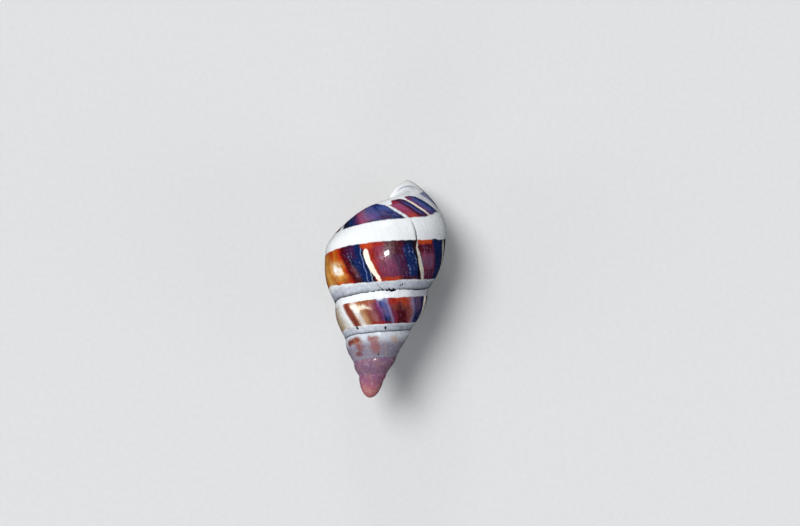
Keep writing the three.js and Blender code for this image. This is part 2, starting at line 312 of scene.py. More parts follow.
def shellSheet():
    # the outer face of the whorls, and the turn and profile part of each vertex
    form = shellForm
    turns, stops = rowTurns(), columnStops()
    sheet = bmesh.new()
    growthMap = sheet.loops.layers.uv.new("Growth")
    fromLip = sheet.verts.layers.float.new("fromLip")
    bmesh.ops.create_grid(sheet, x_segments=len(turns) - 1, y_segments=len(stops) - 1, size=1)
    places, lipVerts = {}, set()
    for vert in sheet.verts:
        row = round((vert.co.x + 1) / 2 * (len(turns) - 1))
        v = stops[round((vert.co.y + 1) / 2 * (len(stops) - 1))]
        # the lip draws back as it comes near the pillar
        turn = turns[row] + form["lipDraw"] * blendValue(2.0, 3.1, v) * blendValue(0.5, 0.12, turns[row])
        places[vert] = turn, v
        vert[fromLip] = turns[row] - form["lipTurn"]
        vert.co = shellPlace(turn, *profile(turn, v))
        if row == 0:
            lipVerts.add(vert)
    sheet.normal_update()
    probe = min(sheet.verts, key=lambda vert: abs(places[vert][0] - 0.5) + abs(places[vert][1] - 0.8))
    if probe.normal.z < 0:
        bmesh.ops.reverse_faces(sheet, faces=sheet.faces)
        sheet.normal_update()
    moves = {vert: vert.normal * shellRelief(*place) for vert, place in places.items()}
    for vert, move in moves.items():
        vert.co += move
    for face in sheet.faces:
        for loop in face.loops:
            turn, v = places[loop.vert]
            loop[growthMap].uv = growthAt(turn, v), v
    return sheet, places, lipVerts


def makeShell(materials):
    form = shellForm
    sheet, places, lipVerts = shellSheet()
    growthMap = sheet.loops.layers.uv["Growth"]

    # the part of each early whorl that the next one covers is left out
    covered = [face for face in sheet.faces if all(
        places[vert][0] > form["coveredTurn"] and places[vert][1] > form["coveredPart"]
        for vert in face.verts)]
    bmesh.ops.delete(sheet, geom=covered, context="FACES")
    places = {vert: place for vert, place in places.items() if vert.is_valid}
    outer = set(sheet.faces)
    lipEdges = [edge for edge in sheet.edges if all(vert in lipVerts for vert in edge.verts)]
    sheet.normal_update()
    bmesh.ops.solidify(sheet, geom=list(sheet.faces), thickness=form["wall"] * mm)
    for face in sheet.faces:
        face.material_index = 0 if face in outer else 1

    # the rim of the lip: its own growth lines, then rounded edges
    rim = {face for edge in lipEdges for face in edge.link_faces if face not in outer}
    for face in rim:
        face.material_index = 0
        for loop in face.loops:
            known = [near.vert for near in (loop, loop.link_loop_next, loop.link_loop_prev)
                     if near.vert in places]
            turn, v = places[known[0]]
            loop[growthMap].uv = growthAt(turn, v), v
    farEdges = [edge for face in rim for edge in face.edges
                if not any(vert in places for vert in edge.verts)]
    bmesh.ops.bevel(sheet, geom=lipEdges + farEdges, offset=form["lipRound"] * mm,
                    offset_type="OFFSET", segments=3, profile=0.5, affect="EDGES", material=-1)
    return addPiece("shell", sheet, materials, (
        "shell_lip", "shell_body_whorl", "shell_whorl_2",
        "shell_whorl_3", "shell_whorl_4", "shell_whorl_5"))


apexForm = {
    "radius": 2.95,
    "height": 6.2,
    "skirt": 0.4,
    "segments": (112, 72),
    "groove": 0.035,
    "grooveWidth": 0.06,
    "grooveFrom": (0.5, 2),
    "firstTurn": 5.9,
    "turnsPerMm": 0.3,
}


def makeApex(material):
    # a dome with the last turns of the seam as a shallow groove
    form, shellSizes = apexForm, shellForm
    dome = bmesh.new()
    growthMap = dome.loops.layers.uv.new("Growth")
    fromLip = dome.verts.layers.float.new("fromLip")
    around, upwards = form["segments"]
    bmesh.ops.create_uvsphere(dome, u_segments=around, v_segments=upwards, radius=1)
    ease = math.log(shellSizes["endHeight"]) + shellSizes["heightEase"] * shellSizes["easeTurns"]
    counts = {}
    for vert in dome.verts:
        x, y, z = vert.co
        height = form["height"] * (1 - z) if z >= 0 else form["height"] - form["skirt"] * z
        turn = math.atan2(y, x) / (2 * math.pi) + 0.25
        counts[vert] = form["firstTurn"] - form["turnsPerMm"] * height
        vert[fromLip] = counts[vert]
        seamTurn = (ease - math.log(max(height, 0.2))) / shellSizes["heightRate"]
        fromSeam = (turn - seamTurn + 0.5) % 1 - 0.5
        dip = form["groove"] * bump(fromSeam, 0, form["grooveWidth"])
        dip *= blendValue(*form["grooveFrom"], height)
        vert.co = shellPlace(turn, max(form["radius"] * math.hypot(x, y) - dip, 0), height)
    for face in dome.faces:
        for loop in face.loops:
            loop[growthMap].uv = (counts[loop.vert], 0.5)
    bmesh.ops.recalc_face_normals(dome, faces=dome.faces)
    return addPiece("apexDome", dome, [material], ("shell_apex",))


# soft body: one skin over all the flesh, sizes in millimetres

skinForm = {
    "nodes": ("mantle", "foot", "tail", "neck", "head", "mouth", "tentacle_upper_left",
              "tentacle_upper_right", "tentacle_lower_left", "tentacle_lower_right"),
    "voxel": 0.195,
    "closing": 0.2,
    "smoothing": 6,
    "headStart": (12.5, 16.5),
    "headTop": (7.5, 6),
    "grain": 0.66,
    "grainHeight": 0.085,
    "fineGrain": 0.36,
    "fineHeight": 0.045,
    "feelerReach": 0.3,
    "gutter": 0.08,
    "rim": 0.66,
    "rimAt": 1.15,
    "rimWidth": 0.32,
    "furrow": 0.09,
    "furrowWidth": 0.13,
    "hem": 1.05,
    "hemWave": 0.1,
    "hemWidth": 0.13,
    "hemDepth": 0.15,
    "frill": 0.07,
    "wrinkle": 0.07,
    "fineFrom": 15.0,
    "fineHeights": (0.3, 6.6),
    "ringHeight": 0.02,
    "ringsPerMm": 2.6,
    "soleHeight": 0.12,
}

mouthForm = {
    "reach": 1.8,
    "lift": 0.1,
    "slitWidth": 0.07,
    "legWidth": 0.08,
    "legSlope": 0.9,
    "slitDepth": 0.2,
    "lips": (0.5, 0.25),
    "lipHeight": 0.08,
    "folds": (0.85, 0.3),
    "foldCount": 13,
    "foldHeight": 0.03,
}


def grains(place, size):
    # rounded grains, a little longer than wide: 0 in the grooves and 1 on top
    nearest = noise.voronoi(Vector((place.x, place.y * 0.7, place.z)) / size)[0]
    share = min((nearest[1] - nearest[0]) / 0.55, 1)
    return 1 - (1 - share) ** 2


def shrunkSkin():
    # the nodes of flesh grown together and brought back to size
    joined = bmesh.new()
    for name in skinForm["nodes"]:
        joined.from_mesh(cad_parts[name].data)
    bmesh.ops.remove_doubles(joined, verts=joined.verts, dist=0.001 * mm)
    core = linked("skinCore", meshFrom("skinCore", joined))
    steps = (
        ("DISPLACE", {"strength": skinForm["closing"] * mm, "mid_level": 0}),
        ("REMESH", {"mode": "VOXEL", "voxel_size": skinForm["voxel"] * mm}),
        ("DISPLACE", {"strength": -skinForm["closing"] * mm, "mid_level": 0}),
        ("SMOOTH", {"factor": 0.5, "iterations": skinForm["smoothing"]}),
    )
    for kind, values in steps:
        step = core.modifiers.new(kind.title(), kind)
        for key, value in values.items():
            setattr(step, key, value)
    shaped = core.evaluated_get(bpy.context.evaluated_depsgraph_get())
    skin = bmesh.new()
    skin.from_mesh(shaped.to_mesh())
    shaped.to_mesh_clear()
    bpy.data.objects.remove(core)
    return skin


def refineHead(skin):
    # finer faces where the head shows
    low, high = skinForm["fineHeights"]
    fine = [edge for edge in skin.edges if all(
        vert.co.y > skinForm["fineFrom"] * mm and low * mm < vert.co.z < high * mm for vert in edge.verts)]
    bmesh.ops.subdivide_edges(skin, edges=fine, cuts=1, use_grid_fill=True)
    bmesh.ops.smooth_vert(skin, verts=skin.verts, factor=0.4, use_axis_x=True, use_axis_y=True,
                          use_axis_z=True)
    skin.normal_update()


def feelerSurface():
    feelers = bmesh.new()
    for name in skinForm["nodes"]:
        if name.startswith("tentacle"):
            feelers.from_mesh(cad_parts[name].data)
    tree = BVHTree.FromBMesh(feelers)
    feelers.free()
    return tree


def eyePlace(node):
    # middle and radius of an eye, and the way it looks
    low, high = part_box(node)
    centre = (low + high) / 2
    headLow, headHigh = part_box("head")
    return centre, (high - low).x / 2, (centre - (headLow + headHigh) / 2).normalized()


def mouthRelief(fromMouth):
    # an upright slit that parts in two below, between lips with fine folds round them
    form = mouthForm
    if fromMouth.length >= form["reach"] or fromMouth.y <= 0:
        return 0, 0
    across, rise = abs(fromMouth.x), fromMouth.z + form["lift"]
    upright = bump(across, 0, form["slitWidth"]) * blendValue(-0.1, 0.05, rise) * blendValue(0.5, 0.3, rise)
    legs = bump(across, -form["legSlope"] * rise, form["legWidth"])
    legs *= blendValue(0.05, -0.05, rise) * blendValue(-0.6, -0.4, rise)
    slit = max(upright, legs)
    spokes = math.cos(form["foldCount"] * math.atan2(fromMouth.z, fromMouth.x))
    height = form["lipHeight"] * bump(fromMouth.length, *form["lips"]) - form["slitDepth"] * slit
    return height + form["foldHeight"] * spokes * bump(fromMouth.length, *form["folds"]), slit


def skinRelief(place, mouth, headShare, feeler):
    # height of the skin's relief, and how deep in a groove the place is, which the finish paints as shade
    form = skinForm
    x, y, z = place
    top = grains(place, form["grain"]) * (1 - headShare)
    top += grains(place + Vector((7, 3, 1)), form["fineGrain"]) * headShare
    deep = form["grainHeight"] * (1 - headShare) + form["fineHeight"] * headShare
    height = deep * (top - 0.7) * (1 - 0.6 * feeler)
    # a shallow gutter where a feeler leaves the head, and rings along the feeler
    height -= form["gutter"] * bump(feeler, 0.4, 0.3) * headShare
    height += form["ringHeight"] * math.cos((y - mouth.y) * 2 * math.pi * form["ringsPerMm"]) * feeler
    height += form["wrinkle"] * noise.noise(Vector((x * 0.35, y * 1.5, z * 0.6))) * blendValue(2, 4, z)
    # a furrow down the middle of the head
    furrow = bump(x, mouth.x, form["furrowWidth"]) * headShare * blendValue(mouth.z + 1.2, mouth.z + 2, z)
    height -= form["furrow"] * furrow
    # hem of the foot with a frill of short grooves under it
    hem = bump(z, form["hem"] + form["hemWave"] * noise.noise(place * 0.4), form["hemWidth"])
    height -= form["hemDepth"] * hem
    height += form["frill"] * noise.noise(Vector((x * 2.4, y * 2.4, z * 0.35))) * blendValue(1.0, 0.7, z)
    mouthHeight, slit = mouthRelief(place - mouth)
    groove = min(1 - top * (1 - 0.5 * feeler) + 0.8 * hem + furrow + slit, 1)
    return height + mouthHeight, groove


def makeSkin(material):
    form = skinForm
    skin = shrunkSkin()
    feelerTree = feelerSurface()
    mouthLow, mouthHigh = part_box("mouth")
    mouth = (mouthLow + mouthHigh) / 2 / mm
    eyes = [eyePlace(node) for node in ("eye_left", "eye_right")]
    refineHead(skin)

    moves = {}
    groove, dusk = (skin.verts.layers.float.new(name) for name in ("groove", "dusk"))
    for vert in skin.verts:
        place = vert.co / mm
        headShare = blendValue(*form["headStart"], place.y) * blendValue(*form["headTop"], place.z)
        feeler = 0
        if headShare > 0:
            near = feelerTree.find_nearest(vert.co, form["feelerReach"] * mm)
            if near[0] is not None:
                feeler = blendValue(form["feelerReach"], 0.5 * form["feelerReach"], near[3] / mm)
        height, vert[groove] = skinRelief(place, mouth, headShare, feeler)
        vert[dusk] = min(headShare * blendValue(2.2, 5, place.z) * 0.7 + 0.75 * feeler, 1)
        moves[vert] = vert.normal * height * blendValue(0.1, 0.5, place.z) * mm
        # a soft rim that reaches forward round each eye
        for centre, radius, ahead in eyes:
            rim = bump((vert.co - centre).length / radius, form["rimAt"], form["rimWidth"])
            moves[vert] += ahead * form["rim"] * rim * radius
    for vert, move in moves.items():
        vert.co += move
        if vert.co.z < form["soleHeight"] * mm:
            vert.co.z = 0
    bmesh.ops.recalc_face_normals(skin, faces=skin.faces)
    return addPiece("skin", skin, [material], form["nodes"])


eyeForm = {
    "segments": (48, 32),
    "bulge": 0.07,
    "bulgeFrom": 0.7,
    "ring": 0.035,
    "ringAt": 0.62,
    "ringWidth": 0.07,
}


def makeEye(name, node, material):
    # a ball with a raised clear front and a shallow ring round it
    form = eyeForm
    centre, radius, ahead = eyePlace(node)
    ball = bmesh.new()
    around, upwards = form["segments"]
    bmesh.ops.create_uvsphere(ball, u_segments=around, v_segments=upwards, radius=1)
    turned = Vector((0, 0, 1)).rotation_difference(ahead)
    for vert in ball.verts:
        front = vert.co.z
        reach = 1 + form["bulge"] * blendValue(form["bulgeFrom"], 1, front)
        reach -= form["ring"] * bump(front, form["ringAt"], form["ringWidth"])
        vert.co = centre + turned @ (vert.co * reach * radius)
    bmesh.ops.recalc_face_normals(ball, faces=ball.faces)
    return addPiece(name, ball, [material], (node,))


# finishes

paints = {  # display colours, 0 to 255
    "white": (232, 234, 236),
    "seamGrey": (203, 209, 219),
    # blue grey for real grey lines and ticks, and for painted shade
    "shade": (120, 126, 146),
    "cream": (250, 236, 216),
    "bone": (204, 198, 184),
    "tan": (182, 142, 104),
    "amber": (166, 90, 10),
    "gold": (204, 150, 66),
    "orange": (184, 60, 4),
    "rust": (146, 24, 6),
    "wine": (126, 34, 58),
    "plum": (110, 34, 66),
    "deepPlum": (64, 14, 50),
    "maroon": (74, 1, 14),
    "navy": (8, 30, 82),
    "slate": (64, 84, 150),
    "ink": (4, 4, 22),
    "paleBlue": (124, 144, 196),
    "lilac": (130, 112, 150),
    "violet": (112, 66, 124),
    "pinkPlum": (156, 68, 102),
    "paleLilac": (156, 156, 182),
    "duskBlue": (78, 78, 132),
    "brick": (138, 70, 50),
    "darkBrick": (112, 42, 34),
    "rose": (150, 94, 94),
    "moss": (162, 150, 126),
    "skyWhite": (204, 212, 222),
    "lilacWhite": (136, 129, 148),
    "mauve": (126, 90, 120),
    "pink": (136, 82, 112),
    "salmon": (174, 100, 106),
    # dark of dirt and of painted shade in the seam groove and in cracks
    "dirtAndShade": (38, 30, 28),
    "skinDark": (108, 92, 80),
    "skinDusk": (132, 112, 100),
    "skinMid": (182, 164, 142),
    "skinPale": (212, 200, 178),
    "skinPink": (204, 172, 156),
    "collar": (224, 216, 196),
    "amberBlack": (30, 18, 12),
}


def paint(name):
    def toLinear(channel):
        share = channel / 255
        return share / 12.92 if share <= 0.04045 else ((share + 0.055) / 1.055) ** 2.4
    return (*(toLinear(channel) for channel in paints[name]), 1)


class Finish:
    # short calls for the shader nodes of one material or of the world

    def __init__(self, owner):
        self.owner = owner
        owner.use_nodes = True
        self.tree = owner.node_tree
        self.tree.nodes.clear()

    def node(self, kind, **settings):
        made = self.tree.nodes.new("ShaderNode" + kind)
        for key, value in settings.items():
            setattr(made, key, value)
        return made

    def plug(self, socket, value):
        if isinstance(value, bpy.types.NodeSocket):
            self.tree.links.new(value, socket)
        else:
            socket.default_value = value

    def result(self, made, *values):
        # plugs values into the first sockets of a node
        for socket, value in zip(made.inputs, values):
            self.plug(socket, value)
        return made.outputs[0]

    def math(self, operation, *values):
        return self.result(self.node("Math", operation=operation), *values)

    def add(self, first, *rest):
        for value in rest:
            first = self.math("ADD", first, value)
        return first

    def times(self, first, *rest):
        for value in rest:
            first = self.math("MULTIPLY", first, value)
        return first

    def centred(self, value, size):
        return self.times(self.math("SUBTRACT", value, 0.5), size)

    def step(self, value, low, high):
        return self.result(self.node("MapRange", interpolation_type="SMOOTHSTEP"), value, low, high)

    def spread(self, value, low, high, toLow, toHigh):
        return self.result(self.node("MapRange"), value, low, high, toLow, toHigh)

    def inside(self, value, low, high, soft):
        # 1 between low and high, with soft edges
        nearest = self.math("MINIMUM", self.math("SUBTRACT", value, low),
                            self.math("SUBTRACT", high, value))
        return self.step(nearest, -soft, soft)

    def mix(self, factor, first, second):
        made = self.node("Mix", data_type="RGBA")
        self.plug(made.inputs[0], factor)
        for socket, value in ((made.inputs[6], first), (made.inputs[7], second)):
            self.plug(socket, paint(value) if isinstance(value, str) else value)
        return made.outputs[2]

    def coat(self, colour, name, *shares):
        # paint over colour, as strong as the product of the shares
        return self.mix(self.times(*shares), colour, name)

    def scaled(self, colour, factor):
        made = self.node("HueSaturation")
        self.plug(made.inputs["Color"], colour)
        self.plug(made.inputs["Value"], factor)
        return made.outputs[0]

    def noise(self, vector, scale, detail=2, roughness=0.5):
        made = self.node("TexNoise")
        settings = {"Vector": vector, "Scale": scale, "Detail": detail, "Roughness": roughness}
        for key, value in settings.items():
            self.plug(made.inputs[key], value)
        return made.outputs[0]

    def vector(self, x, y, z=0.0):
        return self.result(self.node("CombineXYZ"), x, y, z)

    def ramp(self, value, stops):
        # follows value through (place, paint) stops, in parts that one ramp can hold
        result = None
        most = 30
        for first in range(0, len(stops) - 1, most - 1):
            part = stops[first:first + most]
            low, high = part[0][0], part[-1][0]
            made = self.node("ValToRGB")
            self.plug(made.inputs[0], self.spread(value, low, high, 0, 1))
            elements = made.color_ramp.elements
            while len(elements) < len(part):
                elements.new(0.5)
            for element, (place, name) in zip(elements, part):
                element.position = (place - low) / (high - low)
                element.color = paint(name)
            if result is None:
                result = made.outputs[0]
            else:
                result = self.mix(self.math("GREATER_THAN", value, low), result, made.outputs[0])
        return result

    def levels(self, value, stops):
        # follows value through (place, number) stops, numbers from 0 to 1
        low, high = stops[0][0], stops[-1][0]
        made = self.node("FloatCurve")
        self.plug(made.inputs["Value"], self.spread(value, low, high, 0, 1))
        points = made.mapping.curves[0].points
        while len(points) < len(stops):
            points.new(0.5, 0.5)
        for point, (place, number) in zip(points, stops):
            point.location = (place - low) / (high - low), number
            point.handle_type = "AUTO_CLAMPED"
        made.mapping.update()
        return made.outputs[0]

    def washes(self, colour, plan, across, along):
        # soft patches of paint over colour, each (paint, strength, across, along, two softnesses)
        for name, strength, acrossSpan, alongSpan, softAcross, softAlong in plan:
            colour = self.coat(colour, name, self.inside(across, *acrossSpan, softAcross),
                               self.inside(along, *alongSpan, softAlong), strength)
        return colour

    def stroke(self, across, along, start, end, width):
        # thin line on the shell between two (growth, part) places, width in millimetres
        size = 2 * math.pi * growth(start[0])[0], sideLength(start[0])
        reach = [(b - a) * scale for a, b, scale in zip(start, end, size)]
        x = self.times(self.math("SUBTRACT", across, start[0]), size[0])
        y = self.times(self.math("SUBTRACT", along, start[1]), size[1])
        length = math.hypot(*reach)
        done = self.add(self.times(x, reach[0] / length ** 2), self.times(y, reach[1] / length ** 2))
        aside = self.add(self.times(x, -reach[1] / length), self.times(y, reach[0] / length))
        thin = self.times(self.spread(done, 0, 1, 0.35, 1), width)
        near = self.math("SUBTRACT", thin, self.math("ABSOLUTE", aside))
        return self.times(self.step(near, -0.05, 0.05), self.inside(done, 0, 1, 0.03))

    def shader(self, colour, roughness, normal=None, **settings):
        made = self.node("BsdfPrincipled")
        self.plug(made.inputs["Base Color"], colour)
        self.plug(made.inputs["Roughness"], roughness)
        if normal is not None:
            self.plug(made.inputs["Normal"], normal)
        for key, value in settings.items():
            made.inputs[key.replace("_", " ")].default_value = value
        output = self.node("OutputMaterial")
        self.tree.links.new(made.outputs[0], output.inputs[0])
        return self.owner

    def relief(self, height, distance, strength=1.0):
        made = self.node("Bump")
        self.plug(made.inputs["Height"], height)
        made.inputs["Distance"].default_value = distance
        made.inputs["Strength"].default_value = strength
        return made.outputs[0]


# the banding, by growth in turns (across) and part of the profile (along)

bandPlan = {
    "side": (
        (0.0, "navy"), (0.08, "maroon"), (0.128, "plum"), (0.134, "cream"), (0.146, "cream"),
        (0.15, "navy"), (0.192, "navy"), (0.204, "deepPlum"), (0.226, "maroon"), (0.25, "deepPlum"),
        (0.262, "ink"), (0.29, "navy"),
        (0.322, "navy"), (0.334, "plum"), (0.352, "plum"), (0.368, "wine"), (0.38, "maroon"),
        (0.396, "ink"), (0.403, "navy"), (0.424, "navy"), (0.434, "deepPlum"), (0.452, "deepPlum"),
        (0.466, "plum"), (0.492, "wine"), (0.508, "wine"), (0.514, "rust"), (0.52, "orange"),
        (0.528, "rust"), (0.5325, "ink"), (0.548, "navy"), (0.566, "navy"), (0.576, "ink"),
        (0.588, "maroon"), (0.598, "maroon"), (0.606, "rust"), (0.614, "orange"), (0.628, "amber"),
        (0.645, "orange"),
        (0.658, "amber"), (0.7, "gold"), (0.735, "amber"), (0.752, "orange"), (0.77, "rust"),
        (0.785, "maroon"), (0.8, "navy"), (0.858, "ink"), (0.862, "cream"), (0.873, "cream"),
        (0.877, "wine"), (0.91, "plum"), (0.95, "deepPlum"), (0.986, "ink"), (0.99, "cream"),
        (1.002, "cream"), (1.008, "orange"), (1.04, "amber"), (1.07, "rust"), (1.09, "maroon"),
        (1.11, "navy"), (1.18, "navy"), (1.2, "plum"), (1.248, "deepPlum"), (1.258, "ink"),
        (1.262, "cream"), (1.281, "cream"), (1.284, "navy"), (1.335, "navy"), (1.347, "lilac"),
        (1.362, "rose"), (1.374, "wine"), (1.39, "maroon"), (1.42, "maroon"), (1.432, "wine"),
        (1.441, "plum"), (1.447, "lilac"), (1.451, "lilac"), (1.457, "duskBlue"), (1.466, "slate"),
        (1.475, "navy"), (1.481, "violet"), (1.492, "plum"), (1.512, "rose"), (1.53, "brick"),
        (1.556, "tan"),
        (1.568, "white"), (1.58, "white"), (1.59, "brick"), (1.604, "darkBrick"), (1.617, "brick"),
        (1.629, "white"), (1.665, "white"), (1.7, "tan"), (1.735, "brick"), (1.79, "rose"),
        (1.8, "plum"), (1.865, "plum"), (1.87, "cream"), (1.888, "cream"), (1.893, "navy"),
        (1.95, "plum"), (2.02, "rose"), (2.1, "lilacWhite"), (2.4, "lilacWhite")),
    "base": (
        (-0.2, "white"), (0.118, "white"), (0.124, "lilac"), (0.136, "slate"), (0.15, "navy"),
        (0.178, "navy"), (0.183, "white"), (0.23, "white"), (0.234, "maroon"), (0.242, "navy"),
        (0.256, "slate"), (0.272, "duskBlue"), (0.284, "violet"), (0.291, "deepPlum"), (0.2935, "cream"),
        (0.302, "cream"), (0.306, "deepPlum"), (0.315, "navy"), (0.323, "duskBlue"), (0.331, "deepPlum"),
        (0.338, "maroon"), (0.347, "wine"), (0.362, "rust"), (0.378, "rust"), (0.381, "white"),
        (0.392, "white"), (0.395, "ink"), (0.404, "slate"), (0.413, "navy"), (0.436, "navy"),
        (0.45, "duskBlue"), (0.47, "duskBlue"), (0.49, "mauve"), (0.512, "pinkPlum"), (0.53, "plum"),
        (0.552, "navy"), (0.572, "ink"), (0.595, "ink"), (0.6, "white"),
        (0.612, "white"), (0.616, "plum"), (0.66, "navy"), (0.735, "slate"), (0.74, "cream"),
        (0.752, "cream"), (0.756, "maroon"), (0.8, "rust"), (0.83, "navy"), (0.896, "navy"),
        (0.9, "white"), (0.914, "white"), (0.918, "plum"), (0.98, "wine"), (1.02, "navy"),
        (1.098, "ink"), (1.102, "cream"), (1.118, "cream"), (1.122, "navy"), (1.4, "navy")),
    "sideUnder": (
        ("rust", 0.75, (0.5, 0.528), (0.52, 0.97), 0.006, 0.08),
        ("deepPlum", 0.75, (0.556, 0.588), (0.66, 0.97), 0.006, 0.08),
        ("rose", 0.35, (0.572, 0.586), (0.25, 0.5), 0.006, 0.08),
        ("deepPlum", 0.6, (0.435, 0.475), (0.62, 0.92), 0.012, 0.06),
        ("ink", 0.8, (0.396, 0.428), (0.82, 0.97), 0.004, 0.04),
        ("lilac", 0.3, (0.336, 0.381), (0.4, 0.66), 0.006, 0.08),
        ("deepPlum", 0.55, (0.326, 0.381), (0.1, 0.36), 0.005, 0.06),
        ("maroon", 0.75, (0.333, 0.381), (0.68, 0.84), 0.004, 0.04),
        ("lilac", 0.12, (0.45, 0.51), (0.24, 0.6), 0.014, 0.12),
        ("rust", 0.7, (0.602, 0.634), (0.16, 0.32), 0.01, 0.06),
        ("maroon", 0.75, (0.43, 0.475), (0.66, 0.86), 0.012, 0.07),
        ("brick", 0.6, (1.376, 1.44), (0.55, 0.78), 0.01, 0.08),
        ("gold", 0.75, (0.628, 0.652), (0.3, 0.66), 0.01, 0.1),
        ("orange", 0.7, (0.652, 0.672), (0.14, 0.5), 0.008, 0.1),
        ("rust", 0.6, (0.64, 0.7), (0.84, 0.97), 0.02, 0.05)),
    "sideOver": (
        ("orange", 0.95, (0.5, 0.536), (0.815, 0.97), 0.005, 0.028),
        ("rust", 0.9, (0.468, 0.506), (0.825, 0.97), 0.01, 0.03),
        ("maroon", 0.9, (0.425, 0.474), (0.8, 0.97), 0.01, 0.03),
        ("orange", 0.95, (0.452, 0.512), (0.1, 0.235), 0.01, 0.022),
        ("maroon", 0.9, (0.4, 0.456), (0.1, 0.225), 0.008, 0.022),
        ("orange", 1.0, (0.333, 0.3815), (0.835, 0.97), 0.0025, 0.02),
        ("rust", 0.9, (1.384, 1.4425), (0.7, 0.9), 0.008, 0.05),
        ("orange", 0.6, (1.364, 1.415), (0.66, 0.9), 0.01, 0.08),
        ("brick", 0.6, (1.355, 1.385), (0.3, 0.62), 0.01, 0.1),
        ("cream", 0.8, (1.572, 1.59), (0.66, 0.8), 0.006, 0.04),
        ("maroon", 0.8, (1.398, 1.418), (0.3, 0.78), 0.008, 0.08),
        ("rust", 0.8, (1.455, 1.535), (0.1, 0.25), 0.01, 0.025),
        ("amber", 0.5, (1.49, 1.6), (0.775, 0.9), 0.01, 0.03),
        ("brick", 0.65, (1.49, 1.555), (0.8, 0.9), 0.008, 0.02),
        ("cream", 0.9, (1.56, 1.574), (0.55, 0.76), 0.004, 0.05),
        ("tan", 0.45, (1.552, 1.592), (0.14, 0.5), 0.01, 0.1),
        ("ink", 0.55, (1.452, 1.48), (0.1, 0.36), 0.006, 0.08),
        ("mauve", 0.5, (1.304, 1.338), (0.5, 0.9), 0.01, 0.1),
        ("mauve", 0.45, (1.462, 1.48), (0.4, 0.66), 0.006, 0.08),
        ("white", 1.0, (1.466, 1.481), (0.82, 0.95), 0.006, 0.04)),
    # the first three paint a highlight on the amber panel: white centre, cream halo and gold round it, the
    # gold partly the panel's own colour
    "blotchesAndHighlight": (
        ("gold", 0.75, (0.612, 0.668), (0.28, 0.68), 0.014, 0.12),
        ("cream", 0.75, (0.622, 0.653), (0.39, 0.62), 0.01, 0.09),
        ("white", 1.0, (0.629, 0.646), (0.44, 0.57), 0.007, 0.05),
        ("cream", 0.85, (1.526, 1.572), (0.62, 0.72), 0.01, 0.05)),
    "baseOver": (
        ("paleLilac", 1.0, (0.117, 0.182), (1.53, 2.1), 0.004, 0.05),
        ("navy", 0.3, (0.152, 0.172), (1.53, 1.9), 0.006, 0.05),
        ("orange", 0.8, (0.344, 0.374), (1.28, 1.42), 0.006, 0.05),
        ("maroon", 0.9, (0.304, 0.344), (1.28, 1.37), 0.006, 0.03),
        ("pinkPlum", 0.95, (0.342, 0.374), (1.45, 1.66), 0.006, 0.05),
        ("rust", 0.85, (0.338, 0.376), (1.66, 1.9), 0.006, 0.04),
        ("maroon", 0.8, (0.306, 0.336), (1.68, 1.9), 0.006, 0.04),
        ("navy", 0.8, (0.232, 0.25), (1.28, 1.66), 0.006, 0.05),
        ("wine", 0.8, (0.256, 0.294), (1.7, 1.9), 0.008, 0.05),
        ("deepPlum", 0.6, (0.246, 0.292), (1.28, 1.4), 0.008, 0.04),
        ("ink", 0.75, (0.392, 0.412), (1.28, 1.4), 0.008, 0.04),
        ("lilac", 0.35, (0.4, 0.44), (1.38, 1.54), 0.008, 0.06),
        ("deepPlum", 0.8, (0.425, 0.462), (1.28, 1.4), 0.008, 0.04),
        ("ink", 0.7, (0.462, 0.505), (1.28, 1.345), 0.012, 0.025),
        ("navy", 0.85, (0.398, 0.424), (1.4, 1.5), 0.008, 0.05),
        ("slate", 0.8, (0.4, 0.432), (1.54, 1.68), 0.01, 0.06),
        ("violet", 0.5, (0.46, 0.486), (1.36, 1.5), 0.01, 0.06),
        ("navy", 0.7, (0.535, 0.57), (1.28, 1.7), 0.01, 0.05)),
    "patches": (
        ("darkBrick", 1.0, (2.552, 2.664), (0.66, 0.89), 0.014, 0.08),
        ("brick", 0.8, (2.562, 2.598), (0.46, 0.76), 0.014, 0.08),
        ("brick", 0.75, (2.574, 2.614), (0.28, 0.52), 0.014, 0.08),
        ("darkBrick", 0.8, (2.598, 2.648), (0.13, 0.31), 0.014, 0.07),
        ("amber", 0.35, (2.562, 2.6), (0.62, 0.82), 0.014, 0.08),
        ("brick", 0.85, (2.456, 2.52), (0.74, 0.9), 0.014, 0.07),
        ("rose", 0.85, (2.466, 2.508), (0.42, 0.8), 0.014, 0.09),
        ("rose", 0.8, (2.48, 2.524), (0.16, 0.5), 0.014, 0.08),
        ("tan", 0.55, (2.352, 2.396), (0.6, 0.86), 0.012, 0.07),
        ("brick", 0.75, (2.73, 2.79), (0.25, 0.8), 0.012, 0.07),
        ("rose", 0.7, (2.88, 2.92), (0.3, 0.78), 0.012, 0.07),
        ("rose", 0.75, (2.2, 2.25), (0.22, 0.78), 0.012, 0.07),
        ("brick", 0.6, (2.08, 2.12), (0.28, 0.72), 0.012, 0.07)),
    # painted shade on the white beside the seams of the second whorl and of the spire
    "paintedGroundShade": (
        ("shade", 0.45, (1.1, 1.37), (0.84, 1.3), 0.02, 0.04),
        ("shade", 0.3, (2.6, 2.95), (0.86, 1.3), 0.06, 0.06)),
}

